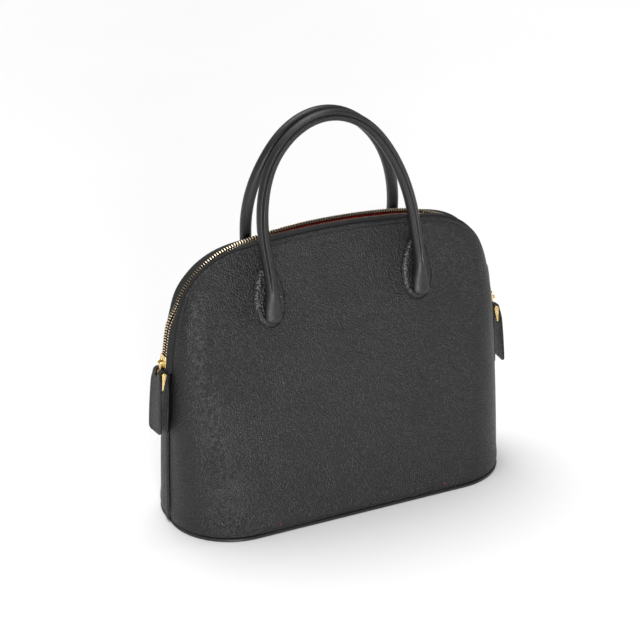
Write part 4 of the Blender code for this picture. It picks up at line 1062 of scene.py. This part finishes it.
for side, (where, pin_spot) in zip((-1, 1), pull_pins.items()):
    half = (BAR_HALF_WIDTH - NOTCH_HALF) / 2
    upright = math.cos(DROP_LEAN) * Z - side * math.sin(DROP_LEAN) * X
    axes = (math.cos(DROP_LEAN) * X + side * math.sin(DROP_LEAN) * Z, upright, -Y)
    side_block = rounded_plate(drop_outline(), half, 0.0003)
    shells = [placed(side_block, pin_spot + hand * (NOTCH_HALF + half) * Y, axes) for hand in (-1, 1)]
    rivet = round_bar(RIVET_RADIUS, BAR_HALF_WIDTH + BAR_PAST)
    shells.append(placed(rivet, pin_spot - RIVET_DROP * upright, (Z, X, Y)))
    below = drop_outline() * [0.98, 1.0]
    below[:, 1] = np.minimum(below[:, 1], -EYE_RADIUS - EYE_CLEARANCE)
    middle = pressed_plate(below[20:-1], [(0.0, -NOTCH_HALF - NOTCH_OVERLAP), (0.0, NOTCH_HALF + NOTCH_OVERLAP)])
    shells.append(placed(middle, pin_spot, axes))
    bar = piece(f"{where}_pull_bar_brass", gathered(*shells), brass, 35.0)
    pin_bar = placed(round_bar(PIN_RADIUS, BAR_HALF_WIDTH + BAR_PAST), pin_spot, (Z, X, Y))
    pin = piece(f"{where}_pull_pin_brass", pin_bar, brass, 35.0)
    for item, stands_for in ((bar, f"pull_bar_{where}"), (pin, f"pull_pin_{where}")):
        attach(item, f"{where}_pull")
        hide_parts(stands_for)


# ---------------------------------------------------------------- Pull tabs
# A strap of the panels' leather, folded over the brass bar and hanging as two leaves with rounded
# corners. The link comes out through a slot at the fold, and a stitch row runs round each leaf.

PULL_HALF_WIDTH = 0.0110
NECK_HALF_WIDTH, NECK_DROP = 0.0070, 0.0165
TAB_THICK = 0.0014
TAB_FOLD = 0.0032
TAB_DROP = 0.056
TAB_CORNER = 0.004
TAB_OUTER_SPLAYS = {"left": 0.0036, "right": 0.0076}
TAB_INNER_SPLAY = 0.0040
TAB_TWIST = 0.00125
TAB_SLOT_DROP, TAB_SLOT_HALF = 0.0040, 0.0030
TAB_BOW = 0.0006
TAB_NEEDLE_LINE = 0.0021
TAB_SEWN_LENGTH = 0.0465


def tab_line(outer_splay, steps=40):
    """The folded strap seen from the side, as (away from the bag, up) from the pin: a leaf that bows by
    sin(pi t), a half circle over the bar and the other leaf."""
    centre = DROP_TOP - DROP_HEAD
    t = np.linspace(0.0, 1.0, steps)
    turn = np.linspace(0.0, math.pi, 17)[1:-1]
    bow = TAB_BOW * np.sin(np.pi * t)
    outer = joined(TAB_FOLD + outer_splay * t + bow, centre - TAB_DROP * t)
    inner = joined(-TAB_FOLD + TAB_INNER_SPLAY * t - 0.5 * bow, centre - TAB_DROP * t)
    fold = joined(TAB_FOLD * np.cos(turn), centre + TAB_FOLD * np.sin(turn))
    return np.vstack([outer[::-1], fold, inner])


def neck_share(from_fold):
    """Share of the full width at a distance from the fold, where the strap is cut to a neck."""
    neck = NECK_HALF_WIDTH / PULL_HALF_WIDTH
    return neck + (1.0 - neck) * smooth_share(from_fold / NECK_DROP)


def tab_half_width(from_end, from_fold):
    """Half width of the strap: a neck at the fold, and a quarter circle at each corner of its ends."""
    into = TAB_CORNER - np.clip(from_end, 0.0, TAB_CORNER)
    half = PULL_HALF_WIDTH - TAB_CORNER + np.sqrt(np.clip(TAB_CORNER ** 2 - into ** 2, 0.0, None))
    return half * neck_share(from_fold)


def tab_spots(pin_spot, side, away, up, across):
    """Places on the strap, whose far edge swings out and near edge in by twist * (share of the drop)."""
    down = np.clip((DROP_TOP - DROP_HEAD - up) / TAB_DROP, 0.0, 1.0)
    away = away + TAB_TWIST * down * across / PULL_HALF_WIDTH
    return pin_spot + joined(side * away, across, up)


for side, where in LEFT_AND_RIGHT:
    pin_spot = pull_pins[where]
    line = tab_line(TAB_OUTER_SPLAYS[where])
    reach = lengths_along(line)
    corner = TAB_CORNER * (1.0 - np.cos(np.linspace(0.0, math.pi / 2, 7)))
    clear = (reach > TAB_CORNER) & (reach < reach[-1] - TAB_CORNER)
    marks = np.unique(np.r_[corner, reach[clear], reach[-1] - corner])
    line_at = between(line, reach, marks)
    half = tab_half_width(np.minimum(marks, reach[-1] - marks), np.abs(marks - reach[-1] / 2))
    t, wide = np.linspace(0.0, 1.0, 9), half[:, None] - TAB_SLOT_HALF
    in_middle = TAB_SLOT_HALF * np.array([-0.5, 0.0, 0.5]) + 0.0 * wide
    y = np.concatenate([-half[:, None] + wide * t, in_middle, TAB_SLOT_HALF + wide * t], axis=1)
    points = tab_spots(pin_spot, side, line_at[:, 0, None], line_at[:, 1, None], y)
    quads = net(*y.shape)
    centre = DROP_TOP - DROP_HEAD
    in_slot = (line_at[:, 1] > centre - TAB_SLOT_DROP) & (line_at[:, 0] > -TAB_FOLD / 2)
    rows, columns = np.divmod(quads[:, 0], y.shape[1])
    keep = ~(in_slot[rows] & in_slot[rows + 1] & (columns >= 8) & (columns < 12))
    tab = piece(f"{where}_pull_leather", (points, [quads[keep][:, ::-side]]), panel_leather, 60.0)
    thicken(tab, TAB_THICK, offset=0.0)
    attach(tab, f"{where}_pull")
    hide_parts(f"pull_tab_{where}")

    inset, reach_in = TAB_NEEDLE_LINE, np.linspace(TAB_SEWN_LENGTH, 0.0, 30)
    bend = np.linspace(0.0, math.pi / 2, 6)
    radius, wide = TAB_CORNER - inset, PULL_HALF_WIDTH - inset
    from_end = inset + np.r_[radius + reach_in, radius * (1.0 - np.sin(bend[1:])), np.zeros(6),
                             radius * (1.0 - np.cos(bend)), radius + reach_in[::-1][1:]]
    along_end = np.linspace(radius - wide, wide - radius, 8)[1:-1]
    across = np.r_[np.full(30, -wide), -wide + radius * (1.0 - np.cos(bend[1:])), along_end,
                   wide - radius * (1.0 - np.sin(bend)), np.full(29, wide)]
    rows = []
    for outer, reached in ((1, from_end), (-1, reach[-1] - from_end)):
        away, up = between(line, reach, reached).T
        sewn_across = across * neck_share(np.abs(reached - reach[-1] / 2))
        path = tab_spots(pin_spot, side, away + outer * (TAB_THICK / 2 - 0.0001), up, sewn_across)
        rows.append(sewn_row(path, np.tile(outer * side * X, (len(path), 1)), length=0.0024, radius=0.0003))
    row = piece(f"{where}_pull_stitching", gathered(*rows), thread)
    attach(row, f"{where}_pull")


# ---------------------------------------------------------------- Handle patches
# Drop-shaped patches of coarse, glossier hide under the four leg ends. The rim is raised over a
# filler cord and sewn down just inside it.

HANDLE_HALF_SPAN = 0.0723
PATCH_HALF_WIDTH = 0.0154
PATCH_LOW, PATCH_WIDEST, PATCH_HIGH = 0.1818, 0.2045, 0.2400
PATCH_SIDES = 96
LEAN = math.atan2(BASE_HALF_DEPTH - EDGE_GAP_TOP - SEAM_FROM_ROW, CROWN_HEIGHT)
OUTWARD = np.array([0.0, -math.cos(LEAN), math.sin(LEAN)])
# Distance in from the patch's edge and height over the panel, in mm
PATCH_RIM = np.array([
    (0.0, -0.1), (0.04, 0.6), (0.2, 1.1), (0.5, 1.35), (0.85, 1.25), (1.1, 0.85), (1.25, 0.5), (1.5, 0.42),
    (1.8, 0.6), (2.4, 1.1), (3.3, 1.5), (4.8, 1.75),
]) / 1000
PATCH_NEEDLE_LOOP = 7


def patch_outline(turn):
    """Half width and height round the patch: an ellipse below its widest line, and above it one whose
    width shrinks with the fourth root of cos(turn) to a slim, blunt tip."""
    slim = np.where(np.sin(turn) > 0.0, np.abs(np.cos(turn)) ** 0.25, 1.0)
    rise = np.where(np.sin(turn) > 0.0, PATCH_HIGH - PATCH_WIDEST, PATCH_WIDEST - PATCH_LOW)
    return joined(PATCH_HALF_WIDTH * np.cos(turn) * slim, PATCH_WIDEST + rise * np.sin(turn))


patch_leather = pebbled_leather("patch_leather", (0.006, 0.006, 0.007), (0.014, 0.014, 0.015), 0.30, 430.0, 0.0006)
turn = full_turn(PATCH_SIDES)
edge = patch_outline(turn)
rim_loops = edge + PATCH_RIM[:, 0, None, None] * inward_of(edge)
hub = np.array([0.0, PATCH_WIDEST])
shares = np.array([0.25, 0.5, 0.75, 0.93])[:, None, None]
loops = np.concatenate([rim_loops, rim_loops[-1] + (hub - rim_loops[-1]) * shares])
heights = np.r_[PATCH_RIM[:, 1], np.full(4, PATCH_RIM[-1, 1])]
for side, where in FRONT_AND_BACK:
    for hand, end in LEFT_AND_RIGHT:
        x, z = hand * HANDLE_HALF_SPAN + loops[..., 0], loops[..., 1]
        points = joined(x, -half_depth(x, z), z) + heights[:, None, None] * OUTWARD
        centre_loop = np.arange(PATCH_SIDES)[None] + (len(loops) - 1) * PATCH_SIDES
        shape = placed((points, [net(*x.shape, ring_columns=True), centre_loop]), 0.0, np.diag([1, side, 1]))
        patch = piece(f"{where}_{end}_patch", shape, patch_leather, 70.0)
        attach(patch, "bag_body")
        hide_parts(f"handle_patch_{where}_{end}")
        path = points[PATCH_NEEDLE_LOOP][np.arange(PATCH_SIDES + 1) % PATCH_SIDES] * [1, side, 1]
        normal = np.tile(OUTWARD * [1, side, 1], (len(path), 1))
        stitches = sewn_row(path, normal, length=0.0023, radius=0.00028, pitch=0.0027)
        row = piece(f"{where}_{end}_patch_stitching", stitches, thread)
        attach(row, "bag_body")


# ---------------------------------------------------------------- Handles
# Fine grained calf rolled round a cotton rope. Its two edges meet in a sewn ridge on the side that faces
# away from the other handle. The lower ends are sewn to the patches.

HANDLE_RADIUS = 0.0055
FOOT_RADIUS = 0.0058
HANDLE_LEG = 0.0277
HANDLE_RISE = 0.1308
HANDLE_MEET = 0.096
HANDLE_SWAY = 0.0080
SWAY_START = 1.55
MEET_SOFTNESS = 0.12
AXIS_HEIGHT = 0.2265
FOOT_HEIGHT = 0.1920
HANDLE_TOP_GAP = 0.0014
STAND_OFF = 0.0020
# Height in metres, and place and width in radians round the handle
LIP_HIGH, LIP_TURN, LIP_WIDE = 0.0005, 0.29, 0.13
TUBE_SLIMMER = 0.0003
SEAM_STRAY = 0.35
GROOVE_DEEP, GROOVE_WIDE = 0.0009, 0.10
FOOT_WIDER, FOOT_FLATTER = 0.38, 0.30
# Start and length of the stretches, up from the top of the sewn foot, where the leg slims, its seam
# begins and, downwards, its foot is pressed flat, and the one to the left in which the seam strays
LEG_SLIMMING, SEAM_BEGINNING = (-0.03, 0.03), (-0.022, 0.03)
FOOT_PRESSING, STRAYING = (0.008, 0.026), (-0.055, 0.11)
CORE_RADIUS = 0.0036
ROPE_TWIST = 260


def leg_spot(height, radius):
    """Distance from the middle plane and height of a leg's middle where it lies on its patch."""
    stand = STAND_OFF + radius
    return half_depth(HANDLE_HALF_SPAN, height) + stand * math.cos(LEAN), height + stand * math.sin(LEAN)


def handle_line(side):
    """The middle line of a handle and the direction out of its arch, from one foot to the other.

    It lies on the patch, goes up a straight leg, round half an ellipse and down again. It leans in to
    the other handle until they touch, then runs on beside it, and it sways to the left by
    sway * s * (a - (a - 1) s), where s is its share of the whole rise.
    """
    axis_y, axis_z = leg_spot(AXIS_HEIGHT, HANDLE_RADIUS)
    foot_y, foot_z = leg_spot(FOOT_HEIGHT, FOOT_RADIUS)
    near = HANDLE_RADIUS + HANDLE_TOP_GAP / 2
    t = np.linspace(0.0, 1.0, 22)[:-1]
    turn = np.linspace(0.0, math.pi, 91)
    arch = HANDLE_LEG + (HANDLE_RISE - HANDLE_LEG) * np.sin(turn)
    below, leg = (foot_z - axis_z) * (1.0 - t), HANDLE_LEG * t
    up = np.r_[below, leg, arch, leg[::-1], below[::-1]]
    x = HANDLE_HALF_SPAN * np.r_[np.full(42, -1.0), -np.cos(turn), np.full(42, 1.0)]
    share = (up + np.sqrt(up ** 2 + 0.004 ** 2)) / 2 / HANDLE_RISE
    x = x - HANDLE_SWAY * share * (SWAY_START - (SWAY_START - 1.0) * share)
    apart = 1.0 - np.maximum(up, 0.0) / HANDLE_MEET
    apart = (apart + np.sqrt(apart ** 2 + MEET_SOFTNESS ** 2)) / (1.0 + math.sqrt(1.0 + MEET_SOFTNESS ** 2))
    y = near + (axis_y - near) * apart + (foot_y - axis_y) * np.clip(up / (foot_z - axis_z), 0.0, 1.0)
    line = joined(x, -side * y, axis_z + up)
    heading = unit(np.gradient(line, axis=0))
    return line, unit(joined(-heading[:, 2], 0.0 * x, heading[:, 0]))


def carried(path, out, section):
    """A section carried along a path: point = path + u * (out x heading) + v * out, for each (u, v)."""
    heading = unit(np.gradient(path, axis=0))
    out = unit(out - (out * heading).sum(axis=1, keepdims=True) * heading)
    sideways = np.cross(out, heading)
    return path[:, None] + section[..., :1] * sideways[:, None] + section[..., 1:] * out[:, None]


def domed_ends(path, radius, steps=7):
    """Adds rings past both ends of a path that close it by a quarter circle of the given radius."""
    turn = np.linspace(0.06, math.pi / 2, steps)[:-1]
    start, end = unit(path[0] - path[1]), unit(path[-1] - path[-2])
    low = path[0] + radius * np.cos(turn)[:, None] * start
    high = path[-1] + radius * np.cos(turn[::-1])[:, None] * end
    return np.vstack([low, path, high]), np.r_[np.sin(turn), np.ones(len(path)), np.sin(turn[::-1])]


handle_leather = pebbled_leather("handle_leather", (0.010, 0.010, 0.011), (0.016, 0.016, 0.017), 0.34, 1000.0, 0.00014,
                                 attribute="rest_place")


def keep_rest_places(item):
    """Keeps each point's resting place on the mesh, for the handle's grain and the rope's yarn to be read from."""
    places = kept_places(item)
    item.data.attributes.new("rest_place", "FLOAT_VECTOR", "POINT").data.foreach_set("vector", places)
    return item


def cotton_rope():
    """Undyed cotton: each strand is made of fine yarns that show as streaks."""
    material, tree = new_finish("cotton_rope", 0.85)
    yarn = noise_on(tree, place_on(tree, "rest_place"), Scale=900.0, Detail=3.0)
    colour = colours_of(tree, yarn, (0.30, 0.25, 0.18), (0.52, 0.46, 0.36), 0.3, 0.7)
    return finished(material, colour, bump_of(tree, yarn, 0.0002, 0.6))


rope = cotton_rope()
from_seam = np.linspace(-1.0, 1.0, 56, endpoint=False)
from_seam = math.pi * signed_power(from_seam, 1.6)
for side, where in FRONT_AND_BACK:
    line, out = handle_line(side)
    seam_turn = math.pi if side > 0 else 0.0
    path, closing = domed_ends(line, FOOT_RADIUS)
    stray = SEAM_STRAY * over_run(-path[:, 0], STRAYING)
    around = seam_turn + from_seam - stray[:, None]
    out_full = np.vstack([np.tile(out[0], (6, 1)), out, np.tile(out[-1], (6, 1))])
    from_axis = path[:, 2] - leg_spot(AXIS_HEIGHT, HANDLE_RADIUS)[1]
    thick = FOOT_RADIUS + (HANDLE_RADIUS - TUBE_SLIMMER - FOOT_RADIUS) * over_run(from_axis, LEG_SLIMMING)
    seam = LIP_HIGH * hump(np.abs(from_seam), LIP_TURN, LIP_WIDE) - GROOVE_DEEP * hump(from_seam, 0.0, GROOVE_WIDE)
    radius = (thick[:, None] + over_run(from_axis, SEAM_BEGINNING)[:, None] * seam) * closing[:, None]
    pressed = over_run(-from_axis, FOOT_PRESSING)
    section = radius[..., None] * facing(around)
    section *= joined(1.0 - FOOT_FLATTER * pressed, 1.0 + FOOT_WIDER * pressed)[:, None]
    points = carried(path, out_full, section)
    sunk = side * FOOT_FLATTER * pressed * thick
    points[..., 1] += sunk[:, None]
    rolled = keep_rest_places(piece(f"{where}_rolled_handle", tube(points), handle_leather, 60.0))

    turn = full_turn(24)
    strand = CORE_RADIUS * (0.84 + 0.16 * np.abs(np.cos(1.5 * turn + lengths_along(line)[:, None] * ROPE_TWIST)))
    points = carried(line, out, strand[..., None] * facing(turn))
    points[..., 1] += sunk[6:-6, None]
    core = keep_rest_places(piece(f"{where}_handle_rope", tube(points), rope, 60.0))

    high = line[:, 2] > leg_spot(AXIS_HEIGHT, HANDLE_RADIUS)[1] - 0.010
    beside = seam_turn - stray[6:-6, None] + 1.35 * LIP_TURN * np.array([-1.0, 1.0])
    seam = carried(line, out, (HANDLE_RADIUS - TUBE_SLIMMER + 0.8 * LIP_HIGH) * facing(beside))[high]
    rows = [sewn_row(seam[:, k], unit(seam[:, k] - line[high]), length=0.0025, radius=0.00026) for k in (0, 1)]
    stitching = keep_rest_places(piece(f"{where}_handle_stitching", gathered(*rows), thread))

    for item in (rolled, core, stitching):
        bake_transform(item)
    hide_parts(f"{where}_handle", f"handle_foot_{where}_left", f"handle_foot_{where}_right")
    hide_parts(f"{where}_handle_core")


# ---------------------------------------------------------------- Floor, light and camera
# A pale seamless studio floor under a white room, with a front lamp a little to the left, a weak one
# from the right and a broad ceiling lamp. The camera stands to the left of the bag's front and looks
# down on it.

def pale_floor():
    """Matt white paper, very slightly uneven."""
    material, tree = new_finish("pale_paper", 0.9, Specular_IOR_Level=0.1)
    fibre = noise_on(tree, place_on(tree), Scale=3.0, Detail=2.0)
    return finished(material, colours_of(tree, fibre, (0.90, 0.90, 0.90), (0.93, 0.93, 0.93)))


FLOOR_HALF = 9.0
corners = FLOOR_HALF * np.array([(-1.0, -1.0, 0.0), (1.0, -1.0, 0.0), (1.0, 1.0, 0.0), (-1.0, 1.0, 0.0)])
floor = piece("floor", (corners, [np.arange(4)[None]]), pale_floor())
floor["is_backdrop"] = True

room = bpy.data.worlds.new("white_room")
room.use_nodes = True
room.node_tree.nodes["Background"].inputs["Color"].default_value = (1.0, 1.0, 1.0, 1.0)
room.node_tree.nodes["Background"].inputs["Strength"].default_value = 0.30
bpy.context.scene.world = room


def lamp(name, kind, place, aim, size, power):
    """A soft lamp at a place, aimed at a point: a square box of a size, or a far one of an angle."""
    data = bpy.data.lights.new(name, kind)
    if kind == "SUN":
        data.angle, data.energy = size, power
    else:
        data.shape, data.size, data.energy = "SQUARE", size, power
    item = bpy.data.objects.new(name, data)
    bpy.context.scene.collection.objects.link(item)
    item.location = place
    item.rotation_euler = (Vector(aim) - Vector(place)).to_track_quat("-Z", "Y").to_euler()


lamp("front_lamp", "AREA", (-0.75, -2.0, 0.40), (-0.05, 0.0, 0.10), 0.35, 30.0)
lamp("right_lamp", "AREA", (2.2, -0.6, 0.9), (0.0, 0.0, 0.2), 0.5, 6.0)
lamp("ceiling_lamp", "SUN", (-0.3, 0.9, 3.0), (0.0, 0.0, 0.0), math.radians(50.0), 2.45)

SENSOR = 36.0
FOCAL_PIXELS, PICTURE_PIXELS = 1826.49, 640
camera = bpy.data.objects.new("camera", bpy.data.cameras.new("camera"))
bpy.context.scene.collection.objects.link(camera)
camera.data.sensor_width = SENSOR
camera.data.lens = FOCAL_PIXELS * SENSOR / PICTURE_PIXELS
camera.location = (-0.6667, -1.3392, 0.8327)
camera.rotation_euler = Vector((0.40067, 0.82036, -0.40801)).to_track_quat("-Z", "Y").to_euler()
bpy.context.scene.camera = camera
bpy.context.scene.view_settings.view_transform = "Standard"

low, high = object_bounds()
